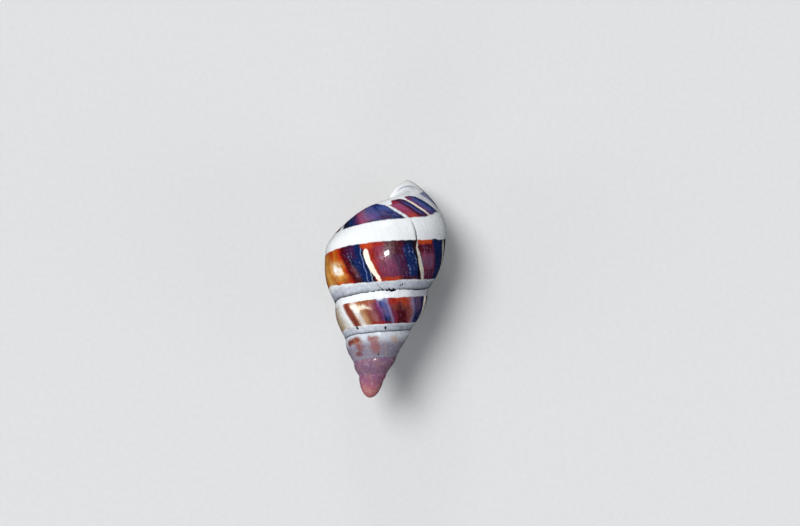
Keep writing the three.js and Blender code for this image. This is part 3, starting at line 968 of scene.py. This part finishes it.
streaks = (  # paint, strength, middle and half width (in tenths) along the profile, softness
    ("cream", 1.0,
     ((0, 0.518), (0.2, 0.5205), (0.35, 0.528), (0.56, 0.529), (0.77, 0.525), (1, 0.523)),
     ((0, 0.02), (0.18, 0.054), (0.35, 0.076), (0.56, 0.078),
      (0.765, 0.06), (0.8, 0.03), (0.82, 0), (1, 0)),
     0.0016),
    ("bone", 0.95,
     ((0, 0.376), (0.25, 0.38), (0.5, 0.3868), (0.7, 0.3855), (0.9, 0.382), (1, 0.381)),
     ((0, 0.02), (0.16, 0.062), (0.35, 0.072), (0.5, 0.064), (0.7, 0.036), (0.9, 0.013), (1, 0.01)),
     0.0014),
    ("bone", 1.0,
     ((0, 0.2715), (1, 0.2715)),
     ((0, 0.0), (0.2, 0.035), (0.6, 0.075), (0.84, 0.075), (0.9, 0.02), (0.92, 0), (1, 0)),
     0.0016),
    ("paleBlue", 0.8,
     ((0, 0.56), (0.18, 0.5554), (0.48, 0.5464), (0.75, 0.5395), (1, 0.535)),
     ((0, 0.006), (0.4, 0.01), (0.8, 0.01), (0.86, 0), (1, 0)),
     0.001),
    ("skyWhite", 0.7,
     ((0, 0.544), (0.17, 0.5408), (0.39, 0.5372), (0.6, 0.5352), (1, 0.534)),
     ((0, 0.006), (0.3, 0.008), (0.58, 0.008), (0.64, 0), (1, 0)),
     0.0008),
)

dashPlan = {
    "rows": 15,
    "columns": 84,
    "bow": 1.5,
    "sway": 1.6,
    "length": (0.36, 0.6, 0.16),
    "height": (0.14, 0.86, 0.14),
    "gaps": (0.46, 0.62),
    "along": (0.2, 0.82, 0.08),
    "zones": (
        ("paleBlue", 0.8, (0.396, 0.436), 0.008),
        ("lilac", 0.85, (0.326, 0.381), 0.006),
        ("paleBlue", 0.5, (0.55, 0.59), 0.01),
        ("lilac", 0.35, (0.44, 0.508), 0.012),
        ("lilac", 0.65, (1.27, 1.345), 0.01),
        ("lilac", 0.4, (1.35, 1.44), 0.01),
        ("paleBlue", 0.45, (0.66, 1.26), 0.05)),
}

lipLines = (  # paint, strength, span behind the lip and softness
    ("cream", 0.85, -0.1, 0.1, 0.05),
    ("lilac", 0.26, 1.0, 1.4, 0.2),
    ("shade", 0.85, 0.9, 1.1, 0.08),
)

cracks = (  # start, end and half width of the dark cracks beside the worn seam; their dark is painted shade of cracks the mesh does not cut
    ((0.536, 0.15), (0.517, 0.0), 0.1),
    ((0.527, 0.075), (0.513, 0.0), 0.08),
)

growthLines = (  # growth and strength of thin grey lines on the base
    (0.343, 0.18),
    (0.3, 0.25),
    (0.425, 0.12),
    (0.085, 0.25),
)

noises = {  # scale, detail and roughness of clouds that ignore the growth lines
    "wander": (380, 4, 0.6),
    "blot": (520, 4, 0.6),
    "cloud": (620, 3, 0.6),
    "mottle": (1100, 4, 0.65),
}

grownNoises = {  # counts per turn and along the profile, shift, detail and roughness
    "comb": (48, 3, 0.0, 2, 0.5),
    "saw": (36, 30, 2.0, 3, 0.5),
    "blur": (40, 8, 5.0, 4, 0.6),
    "brush": (300, 3.2, 0.0, 4, 0.65),
    "hair": (520, 7, 4.0, 3, 0.6),
    "gaps": (46, 9, 9.0, 3, 0.5),
    # mottles the dark seam line, partly dirt and partly painted shade, and places the ticks
    "dustAndShade": (260, 40, 0.0, 3, 0.6),
    "lines": (420, 2.2, 0.0, 4, 0.6),
}

levelPlan = {  # by growth, but seamShade and lipShape go along the profile
    # painted shade on the grey band by the seam, by growth
    "paintedShadeByGrowth": ((0.3, 0.62), (0.37, 0.48), (0.42, 0.26), (0.47, 0.1), (0.62, 0.0), (0.7, 0.4),
                 (1.1, 0.3), (1.38, 0.48), (1.48, 0.2), (1.56, 0.0), (1.66, 0.3), (2.1, 0.3)),
    # painted shade: the ground darkens into the seam groove
    "seamShade": ((0, 0.4), (0.03, 0.64), (0.055, 0.86), (0.09, 0.97), (0.15, 1)),
    "sideLow": ((0.1, 0.17), (0.31, 0.17), (0.44, 0.172), (0.5, 0.16), (0.6, 0.18), (0.66, 0.21),
                (0.73, 0.26), (1.1, 0.18), (2.1, 0.18)),
    "sideHigh": ((0.1, 0.9), (0.68, 0.9), (0.73, 0.95), (1.1, 0.88), (1.3, 0.87), (1.45, 0.86),
                 (1.6, 0.84), (2.1, 0.86)),
    # the base runs past 1, so its levels are thirds
    "baseLow": ((0.1, 0.46), (0.22, 0.46), (0.3, 0.44), (0.38, 0.433), (1.2, 0.433)),
    "baseHigh": ((0.1, 0.59), (0.2, 0.6), (0.232, 0.585), (0.25, 0.605), (0.275, 0.605), (0.293, 0.57),
                 (0.3, 0.575), (0.315, 0.595), (0.34, 0.595), (0.381, 0.545), (0.392, 0.55), (0.42, 0.62),
                 (0.5, 0.66), (0.6, 0.64), (0.8, 0.62), (1.2, 0.62)),
    # where the painted shadow along the jagged seam edge reaches, by growth
    "jagShadowSpan": ((0.37, 0), (0.4, 0.35), (0.45, 0.35), (0.47, 1), (0.52, 1), (0.56, 0)),
    "lipShape": ((1.5, 0.15), (1.8, 0.138), (2.05, 0.121), (2.24, 0.081), (2.45, 0.063), (3, 0.062)),
}

spire = ((2.0, "lilacWhite"), (2.95, "lilacWhite"), (3.1, "mauve"), (3.9, "mauve"),
         (4.15, "pink"), (4.75, "pink"), (5.5, "salmon"), (6.0, "salmon"))

shellPaint = {
    "wanderAcross": 0.01,
    "sawAcross": 0.005,
    "wanderAlong": 0.032,
    "combAlong": 0.04,
    "blotchAcross": 0.055,
    "blotchAlong": 0.32,
    "patchAcross": 0.05,
    "patchAlong": 0.34,
    "brushed": (0.66, 1.36),
    "clouded": (0.78, 1.22),
    "keptPale": (0.5, 0.62),
    "haired": 0.42,
    "hairedSpan": (0.44, 0.512, 0.012),
    "baseCloud": 0.24,
    "baseBrushed": (0.62, 1.32),
    "seamEdge": (0.13, 0.21),
    "brightSeam": 0.55,
    "seamBlur": (0.84, 1.14),
    "smudge": 0.8,
    "smudgeSpan": (1.645, 1.9, 0.025),
    "crest": 0.95,
    "spireTan": 0.3,
    "spireWhite": 0.25,
    "colourEnd": (2.12, 2.09),
    "baseEnd": (1.9, 1.85),
    "sideSoft": 0.01,
    "baseSoft": 0.016,
}


wearPaint = {
    "early": (3.0, 2.2),
    # the dark seam line: partly dirt, partly painted shade in the seam groove
    "seam": (0.03, 0.004),
    "seamShare": 0.8,
    "ticks": (0.13, 0.03),
    "tickDust": (0.6, 0.68),
    "tickShare": 0.5,
    # painted shadow along the jagged seam edge
    "jagShadowsPerTurn": 110,
    "jagShadowReach": (0.008, 0.062),
    "jagShadowSoft": 0.004,
    "jagShadowEnd": (0.565, 0.55),
    "crumbsAcross": (1.36, 1.535, 0.015),
    "crumbsAlong": (0.86, 1.3, 0.02),
    "lipWave": 0.006,
    "lipAlong": (2.02, 2.66, 0.16),
    "pitEdge": (1.15, 0.7),
    "restAcross": (0.3822, 0.3858, 0.001),
    "restAlong": (0.86, 1.26, 0.05),
    "restFade": (0.95, 1.25, 0.95, 0.3),
    "lineWidth": 0.002,
    "lineSoft": 0.0012,
    "lineFrom": (0.95, 1.05),
    "lineShade": (0.92, 1.03),
    "gloss": (0.2, 0.34),
    "glossScale": 1500,
    "brushHeight": 0.6,
    "mottleHeight": 0.3,
    "reliefDepth": 0.00003,
    "reliefStrength": 0.6,
}


def grownNoise(finish, name, g, v):
    # noise that is drawn out along the growth lines
    perTurn, perPart, shift, detail, roughness = grownNoises[name]
    place = finish.vector(finish.times(g, perTurn), finish.times(v, perPart), shift)
    return finish.noise(place, 1, detail, roughness)


def shellPlaces(finish):
    # growth and profile part, plain and with uneven edges, and the noises that more than one coat uses
    form = shellPaint
    uv = finish.node("UVMap", uv_map="Growth")
    parts = finish.node("SeparateXYZ")
    finish.plug(parts.inputs[0], uv.outputs[0])
    at = SimpleNamespace(g=parts.outputs[0], v=parts.outputs[1])
    at.spot = finish.node("TexCoord").outputs["Object"]
    at.wander = finish.noise(at.spot, *noises["wander"])
    comb = grownNoise(finish, "comb", at.g, at.v)
    saw = grownNoise(finish, "saw", at.g, at.v)
    at.gEdge = finish.add(at.g, finish.centred(at.wander, form["wanderAcross"]),
                          finish.centred(saw, form["sawAcross"]))
    at.vEdge = finish.add(at.v, finish.centred(at.wander, form["wanderAlong"]),
                          finish.centred(comb, form["combAlong"]))
    at.blot = finish.noise(at.spot, *noises["blot"])
    at.blur = grownNoise(finish, "blur", at.g, at.v)
    at.gBlot = finish.add(at.g, finish.centred(at.blot, form["blotchAcross"]))
    at.vBlot = finish.add(at.v, finish.centred(at.blur, form["blotchAlong"]))
    return at


def sideBands(finish, at):
    # panels of the side, with streaks across them and patches over both; the last patches hold a painted
    # highlight on the amber panel
    side = finish.ramp(at.gEdge, bandPlan["side"])
    side = finish.washes(side, bandPlan["sideUnder"], at.gEdge, at.vEdge)
    for name, strength, centres, halves, soft in streaks:
        away = finish.math("ABSOLUTE", finish.math("SUBTRACT", at.gEdge, finish.levels(at.v, centres)))
        half = finish.levels(at.v, halves)
        over = finish.math("SUBTRACT", away, finish.times(half, 0.1))
        share = finish.times(finish.step(over, soft, -soft), finish.step(half, 0, 0.005), strength)
        side = finish.coat(side, name, share)
    side = finish.washes(side, bandPlan["sideOver"], at.gEdge, at.vEdge)
    return finish.washes(side, bandPlan["blotchesAndHighlight"], at.gBlot, at.vBlot)


def brushedSide(finish, at, side):
    # brushed streaks along the growth lines, clouds, and fine hairs in one panel
    form = shellPaint
    at.brush = grownNoise(finish, "brush", at.g, at.v)
    hair = grownNoise(finish, "hair", at.g, at.v)
    at.cloud = finish.noise(at.spot, *noises["cloud"])
    depth = finish.times(finish.spread(at.brush, 0.3, 0.7, *form["brushed"]),
                         finish.spread(at.cloud, 0.3, 0.7, *form["clouded"]))
    grey = finish.node("RGBToBW")
    finish.plug(grey.inputs[0], side)
    kept = finish.step(grey.outputs[0], *form["keptPale"])
    side = finish.scaled(side, finish.math("MAXIMUM", depth, kept))
    haired = finish.times(finish.step(hair, 0.54, 0.7), finish.inside(at.v, 0.2, 0.72, 0.1),
                          finish.inside(at.g, *form["hairedSpan"]))
    return finish.coat(side, "lilac", haired, form["haired"])


def dashedSide(finish, at, side):
    # rows of pale dashes that curve a little, by how strong they are in each zone
    form = dashPlan
    rowAt = finish.math("FRACT", finish.times(at.v, form["rows"]))
    offMiddle = finish.centred(rowAt, 1)
    bow = finish.times(offMiddle, offMiddle, form["bow"])
    columnAt = finish.math("FRACT", finish.add(finish.times(at.g, form["columns"]), bow,
                                               finish.times(at.blur, form["sway"])))
    dash = finish.times(finish.inside(columnAt, *form["length"]), finish.inside(rowAt, *form["height"]),
                        finish.step(grownNoise(finish, "gaps", at.g, at.v), *form["gaps"]),
                        finish.inside(at.v, *form["along"]))
    for name, strength, span, soft in form["zones"]:
        share = finish.times(dash, finish.inside(at.g, *span, soft), strength)
        side = finish.coat(side, name, share)
    return side


def baseBands(finish, at):
    form = shellPaint
    base = finish.ramp(at.gEdge, bandPlan["base"])
    base = finish.washes(base, bandPlan["baseOver"], at.gEdge, at.vEdge)
    base = finish.coat(base, "slate", finish.spread(at.cloud, 0.35, 0.7, 0, form["baseCloud"]))
    return finish.scaled(base, finish.spread(at.brush, 0.3, 0.7, *form["baseBrushed"]))


def groundCoat(finish, at):
    # grey by the seam, with painted shade on that grey band and darker into the seam groove, white below
    # with patches of painted shade, lilac and pink towards the tip
    form = shellPaint
    at.mottle = finish.noise(at.spot, *noises["mottle"])
    seamStart, seamEnd = form["seamEdge"]
    ground = finish.mix(finish.step(at.vEdge, seamStart, seamEnd), "seamGrey", "white")
    paintedShadeByGrowth = finish.levels(at.g, levelPlan["paintedShadeByGrowth"])
    # painted shade washed on the white beside some seams
    ground = finish.washes(ground, bandPlan["paintedGroundShade"], at.g, at.vEdge)
    # painted shade on the grey band by the seam
    paintedSeamShade = finish.times(finish.step(at.vEdge, seamEnd, 0.15),
                          finish.add(paintedShadeByGrowth, finish.spread(at.mottle, 0.42, 0.72, -0.08, 0.3)))
    ground = finish.coat(ground, "shade", paintedSeamShade)
    # painted shade: darker into the seam groove
    ground = finish.scaled(ground, finish.levels(at.vEdge, levelPlan["seamShade"]))
    nearSeam = finish.step(at.vEdge, 0.24, 0.16)
    brightAt = finish.step(finish.add(at.vEdge, finish.centred(at.blur, 0.1)), 0.1, 0.17)
    ground = finish.coat(ground, "white", brightAt, nearSeam, form["brightSeam"])
    uneven = finish.times(nearSeam, finish.centred(at.blur, 1))
    ground = finish.scaled(ground, finish.spread(uneven, -0.2, 0.2, *form["seamBlur"]))
    at.smudge = finish.times(finish.inside(at.g, *form["smudgeSpan"]),
                             finish.spread(at.cloud, 0.35, 0.6, 0.5, 1))
    tip = finish.ramp(at.g, spire)
    crest = finish.times(finish.step(at.v, 0.48, 0.92), finish.step(at.g, 3.04, 2.92))
    tip = finish.coat(tip, "skyWhite", crest, form["crest"])
    tip = finish.coat(tip, "tan", finish.spread(at.cloud, 0.45, 0.75, 0, form["spireTan"]))
    tip = finish.coat(tip, "white", finish.spread(at.mottle, 0.5, 0.8, 0, form["spireWhite"]))
    return finish.mix(finish.step(at.g, 1.95, 2.12), ground, tip)


def shellColour(finish, at):
    form = shellPaint
    side = dashedSide(finish, at, brushedSide(finish, at, sideBands(finish, at)))
    base = baseBands(finish, at)
    ground = groundCoat(finish, at)

    sideLow, sideHigh = (finish.levels(at.g, levelPlan[name]) for name in ("sideLow", "sideHigh"))
    sideShare = finish.times(finish.inside(at.vEdge, sideLow, sideHigh, form["sideSoft"]),
                             finish.step(at.g, *form["colourEnd"]))
    colour = finish.mix(sideShare, ground, side)
    baseLow, baseHigh = (finish.levels(at.g, levelPlan[name]) for name in ("baseLow", "baseHigh"))
    baseShare = finish.times(
        finish.inside(at.vEdge, finish.times(baseLow, 3), finish.times(baseHigh, 3), form["baseSoft"]),
        finish.step(at.g, *form["baseEnd"]))
    colour = finish.mix(baseShare, colour, base)
    spotted = finish.washes(colour, bandPlan["patches"],
                            finish.add(at.g, finish.centred(at.blot, form["patchAcross"])),
                            finish.add(at.v, finish.centred(at.wander, form["patchAlong"])))
    colour = finish.mix(finish.spread(at.mottle, 0.36, 0.55, 0.8, 1), colour, spotted)
    smudge = finish.times(at.smudge, finish.inside(at.v, 0.15, 0.86, 0.05), form["smudge"])
    return finish.coat(colour, "moss", smudge)


def wornSeam(finish, at, colour):
    # a dark line along the seams, partly dirt and partly painted shade in the seam groove, a painted shadow
    # along the chipped, jagged seam edge, cracks painted dark as painted shade, and crumbs of white callus
    form = wearPaint
    dustAndShade = grownNoise(finish, "dustAndShade", at.g, at.v)
    early = finish.step(at.g, *form["early"])
    # a dark line in the seam groove: partly dirt, partly painted shade
    seam = finish.times(finish.step(at.v, *form["seam"]), finish.spread(dustAndShade, 0.35, 0.6, 0.25, 1), early)
    colour = finish.coat(colour, "dirtAndShade", seam, form["seamShare"])
    ticks = finish.times(finish.step(at.vEdge, *form["ticks"]), finish.step(dustAndShade, *form["tickDust"]), early)
    colour = finish.coat(colour, "shade", ticks, form["tickShare"])
    # painted shadow along the jagged seam edge
    jagShadowNoisePlace = finish.vector(finish.times(at.g, form["jagShadowsPerTurn"]), 0.5, 3.0)
    jagShadowNoise = finish.noise(jagShadowNoisePlace, 1, 3, 0.7)
    jagShadowSpan = finish.levels(at.g, levelPlan["jagShadowSpan"])
    jagShadowEdge = finish.times(finish.spread(jagShadowNoise, 0.38, 0.66, *form["jagShadowReach"]), jagShadowSpan)
    chips = finish.step(finish.math("SUBTRACT", at.v, jagShadowEdge), form["jagShadowSoft"], -form["jagShadowSoft"])
    colour = finish.coat(colour, "ink", chips, finish.step(at.g, *form["jagShadowEnd"]))
    # cracks painted dark: painted shade in cracks the mesh does not cut
    for start, end, width in cracks:
        colour = finish.coat(colour, "dirtAndShade", finish.stroke(at.gEdge, at.vEdge, start, end, width))
    crumbs = finish.times(finish.inside(at.g, *form["crumbsAcross"]),
                          finish.inside(at.vEdge, *form["crumbsAlong"]))
    return finish.coat(colour, "white", crumbs)


def lipAndLines(finish, at, colour):
    # cream rim of the lip, lines behind it, small holes and the lines of slow growth
    form = wearPaint
    fromLip = finish.node("Attribute", attribute_name="fromLip").outputs["Fac"]
    lipShape = finish.levels(at.v, levelPlan["lipShape"])
    waved = finish.add(fromLip, finish.centred(at.mottle, form["lipWave"]))
    behind = finish.math("DIVIDE", waved, lipShape)
    for name, strength, low, high, soft in lipLines:
        line = finish.times(finish.inside(behind, low, high, soft), finish.inside(at.v, *form["lipAlong"]))
        colour = finish.coat(colour, name, line, strength)
    for atGrowth, atPart, reach in pits:
        radius = growth(atGrowth)[0]
        across = finish.times(finish.math("SUBTRACT", at.gEdge, atGrowth), 2 * math.pi * radius / reach)
        along = finish.times(finish.math("SUBTRACT", at.vEdge, atPart), sideLength(atGrowth) / reach)
        away = finish.math("SQRT", finish.add(finish.times(across, across), finish.times(along, along)))
        colour = finish.coat(colour, "ink", finish.step(away, *form["pitEdge"]))
    rest = finish.times(finish.inside(at.g, *form["restAcross"]), finish.inside(at.v, *form["restAlong"]),
                        finish.spread(at.v, *form["restFade"]))
    colour = finish.coat(colour, "dirtAndShade", rest)
    for atGrowth, strength in growthLines:
        line = finish.inside(at.gEdge, atGrowth, atGrowth + form["lineWidth"], form["lineSoft"])
        colour = finish.coat(colour, "shade", line, finish.step(at.v, *form["lineFrom"]), strength)
    return colour


def makeShellFinish():
    form = wearPaint
    finish = Finish(bpy.data.materials.new("bandedShell"))
    at = shellPlaces(finish)
    colour = shellColour(finish, at)
    colour = lipAndLines(finish, at, wornSeam(finish, at, colour))

    # fine growth lines in colour, gloss and height
    lines = grownNoise(finish, "lines", at.g, at.v)
    colour = finish.scaled(colour, finish.spread(lines, 0.3, 0.7, *form["lineShade"]))
    gloss = finish.spread(finish.noise(at.spot, form["glossScale"], 3), 0.3, 0.7, *form["gloss"])
    height = finish.add(lines, finish.times(at.brush, form["brushHeight"]),
                        finish.times(at.mottle, form["mottleHeight"]))
    normal = finish.relief(height, form["reliefDepth"], form["reliefStrength"])
    return finish.shader(colour, gloss, normal, IOR=1.46, Coat_Weight=0.5, Coat_Roughness=0.05)


def makeInsideFinish():
    finish = Finish(bpy.data.materials.new("shellInside"))
    cloud = finish.noise(finish.node("TexCoord").outputs["Object"], 260, 3)
    colour = finish.mix(cloud, "white", "lilacWhite")
    return finish.shader(colour, finish.spread(cloud, 0.3, 0.7, 0.18, 0.32), IOR=1.5)


skinPaint = {
    "cloudScale": 300,
    "patchScale": 130,
    "fineScale": 2600,
    "speckScale": 1500,
    "pink": 0.35,
    "hem": (0.0012, 0.0006),
    "hemShare": 0.7,
    # painted shade: a line in the groove of the hem, and the grooves of the skin
    "hemShadeLine": (0.001, 0.0012, 0.0001),
    "lowLineWave": 0.0003,
    "grooveShade": 0.34,
    "specks": 0.14,
    "gloss": (0.22, 0.36),
    "reliefDepth": 0.00004,
}


def makeSkinFinish():
    # pale skin, darker on the head and feelers, with painted shade in the grooves and along the hem, wet
    # all over
    form = skinPaint
    finish = Finish(bpy.data.materials.new("wetSkin"))
    spot = finish.node("TexCoord").outputs["Object"]
    parts = finish.node("SeparateXYZ")
    finish.plug(parts.inputs[0], spot)
    up = parts.outputs[2]
    groove = finish.node("Attribute", attribute_name="groove").outputs["Fac"]
    dusk = finish.node("Attribute", attribute_name="dusk").outputs["Fac"]
    cloud = finish.noise(spot, form["cloudScale"], 4)
    patch = finish.noise(spot, form["patchScale"], 3, 0.6)
    fine = finish.noise(spot, form["fineScale"], 3, 0.6)
    colour = finish.mix(finish.spread(cloud, 0.36, 0.66, 0, 1), "skinMid", "skinPale")
    colour = finish.coat(colour, "skinPink", finish.spread(patch, 0.45, 0.7, 0, form["pink"]))
    colour = finish.coat(colour, "skinDusk", dusk, finish.spread(cloud, 0.35, 0.65, 0.75, 0.35))
    colour = finish.coat(colour, "collar", finish.step(up, *form["hem"]), form["hemShare"])
    # painted shade: a dark line in the groove of the hem
    hemShadeLine = finish.inside(finish.add(up, finish.centred(cloud, form["lowLineWave"])), *form["hemShadeLine"])
    colour = finish.coat(colour, "skinDark", hemShadeLine, 0.5)
    # painted shade in the grooves between the grains, the hem, the furrow and the mouth slit
    colour = finish.coat(colour, "skinDark", finish.step(groove, 0.3, 1.0), form["grooveShade"])
    specks = finish.step(finish.noise(spot, form["speckScale"], 2), 0.6, 0.68)
    colour = finish.coat(colour, "collar", specks, form["specks"])
    colour = finish.scaled(colour, finish.spread(fine, 0.3, 0.7, 0.94, 1.06))
    gloss = finish.spread(cloud, 0.3, 0.7, *form["gloss"])
    return finish.shader(colour, gloss, finish.relief(fine, form["reliefDepth"], 0.6), IOR=1.4,
                         Coat_Weight=0.9, Coat_Roughness=0.14, Subsurface_Weight=0.2,
                         Subsurface_Radius=(0.0012, 0.0006, 0.0003))


def makeEyeFinish():
    finish = Finish(bpy.data.materials.new("eyeBlack"))
    spot = finish.node("TexCoord").outputs["Object"]
    colour = finish.mix(finish.step(finish.noise(spot, 4200, 3), 0.4, 0.7), "ink", "amberBlack")
    return finish.shader(colour, 0.08, IOR=1.45)


shellFinish, insideFinish = makeShellFinish(), makeInsideFinish()
makeShell([shellFinish, insideFinish])
makeApex(shellFinish)
print("shell built")

makeSkin(makeSkinFinish())
eyeFinish = makeEyeFinish()
for side in ("left", "right"):
    makeEye(side + "Eye", "eye_" + side, eyeFinish)
print("soft body built")


# studio: floor, lights and camera

studio = {
    "cameraPlace": (0.00363, 0.00607, 0.5259),
    "roll": 4.74,
    "lens": 100,
    "floorSize": 6,
    "floorShade": (0.62, 0.64),
    "aim": (0, 0, 0.01),
    "keyPlace": (-0.27, 0.19, 0.6),
    "keyPower": 2.95,
    "keyAngle": 30,
    "sidePower": 0.45,
    "sides": (  # name, place, size and whether it shows in reflections
        ("right", (0.55, -0.1, 0.22), 0.3, False),
        ("left", (-0.55, -0.15, 0.26), 0.3, False),
        ("front", (-0.12, 0.6, 0.26), 0.1, True),
        ("back", (-0.1, -0.6, 0.3), 0.3, False)),
    "flashPower": 0.5,
    "flashSize": 0.055,
    "flashReach": 0.5,
    "glintAt": (0.485, 0.69),
    "gleamPower": 3,
    "gleamSize": 0.2,
    "gleams": (
        ("gleamFront", (-0.25, 0.6, 0.45)),
        ("gleamLeft", (-0.6, -0.05, 0.4)),
        ("gleamRight", (0.5, 0.3, 0.4))),
    "air": 0.28,
    "airColour": (0.84, 0.92, 1, 1),
    "airHeights": (-0.3, 0.8),
    "lowAir": 0.15,
    "mirrored": 0.3,
    "horizon": 0.66,
}


def makeFloor():
    floorMesh = bmesh.new()
    bmesh.ops.create_grid(floorMesh, x_segments=1, y_segments=1, size=studio["floorSize"] / 2)
    floor = linked("floor", meshFrom("floor", floorMesh))
    floor.visible_glossy = False
    finish = Finish(bpy.data.materials.new("paleFloor"))
    grain = finish.noise(finish.node("TexCoord").outputs["Object"], 900, 2)
    shade = finish.spread(grain, 0.3, 0.7, *studio["floorShade"])
    colour = finish.node("CombineColor")
    for socket in colour.inputs:
        finish.plug(socket, shade)
    floor.data.materials.append(finish.shader(colour.outputs[0], 0.8))


def lamp(name, kind, place, power, size, glossy=False):
    light = bpy.data.lights.new(name, kind)
    light.energy = power
    if kind == "AREA":
        light.shape = "DISK"
        light.size = size
    else:
        light.angle = math.radians(size)
    made = linked(name, light)
    made.location = place
    made.rotation_euler = (Vector(studio["aim"]) - Vector(place)).to_track_quat("-Z", "Y").to_euler()
    made.visible_glossy = glossy
    return made


def glintPlace():
    # where a lamp has to be for the camera to see it mirrored in the last whorl
    turn, v = studio["glintAt"]
    reach = 0.003
    middle = shellPlace(turn, *profile(turn, v))
    along = shellPlace(turn + reach, *profile(turn + reach, v)) - middle
    across = shellPlace(turn, *profile(turn, v + reach)) - middle
    normal = along.cross(across).normalized()
    view = (Vector(studio["cameraPlace"]) - middle).normalized()
    normal = normal if normal.dot(view) > 0 else -normal
    return middle + (2 * normal.dot(view) * normal - view) * studio["flashReach"]


def makeLamps():
    # lamps that only gleam on the wet skin and the eyes
    wet = bpy.data.collections.new("wetPieces")
    for name in ("skin", "leftEye", "rightEye"):
        wet.objects.link(bpy.data.objects[name])
    for name, place in studio["gleams"]:
        gleam = lamp(name, "AREA", place, studio["gleamPower"], studio["gleamSize"], True)
        gleam.visible_diffuse = False
        gleam.light_linking.receiver_collection = wet
    lamp("key", "SUN", studio["keyPlace"], studio["keyPower"], studio["keyAngle"])
    for name, place, size, glossy in studio["sides"]:
        lamp(name, "AREA", place, studio["sidePower"], size, glossy)
    # a small lamp that only makes a glint on the shell
    flash = lamp("flash", "AREA", glintPlace(), studio["flashPower"], studio["flashSize"], True)
    flash.visible_diffuse = False


def makeAir():
    # pale air, darker towards the floor
    world = bpy.data.worlds.new("studioAir")
    air = Finish(world)
    up = air.node("SeparateXYZ")
    air.plug(up.inputs[0], air.node("TexCoord").outputs["Generated"])
    strengths = studio["lowAir"] * studio["air"], studio["air"]
    strength = air.spread(up.outputs[2], *studio["airHeights"], *strengths)
    # dimmer in reflections, and past the floor's edge as pale as the floor
    rays = air.node("LightPath").outputs
    dimmed = air.spread(rays["Is Glossy Ray"], 0, 1, 1, studio["mirrored"])
    shown = air.node("Mix")
    air.plug(shown.inputs[0], rays["Is Camera Ray"])
    air.plug(shown.inputs[2], air.times(strength, dimmed))
    air.plug(shown.inputs[3], studio["horizon"])
    light = air.result(air.node("Background"), studio["airColour"], shown.outputs[0])
    air.plug(air.node("OutputWorld").inputs[0], light)
    bpy.context.scene.world = world
    bpy.context.scene.view_settings.view_transform = "Standard"


def makeCamera():
    data = bpy.data.cameras.new("camera")
    data.lens = studio["lens"]
    data.sensor_width = 36
    camera = linked("camera", data)
    camera.location = studio["cameraPlace"]
    camera.rotation_euler = (0, 0, math.radians(studio["roll"]))
    bpy.context.scene.camera = camera


makeFloor()
makeLamps()
makeAir()
makeCamera()
print("studio ready")
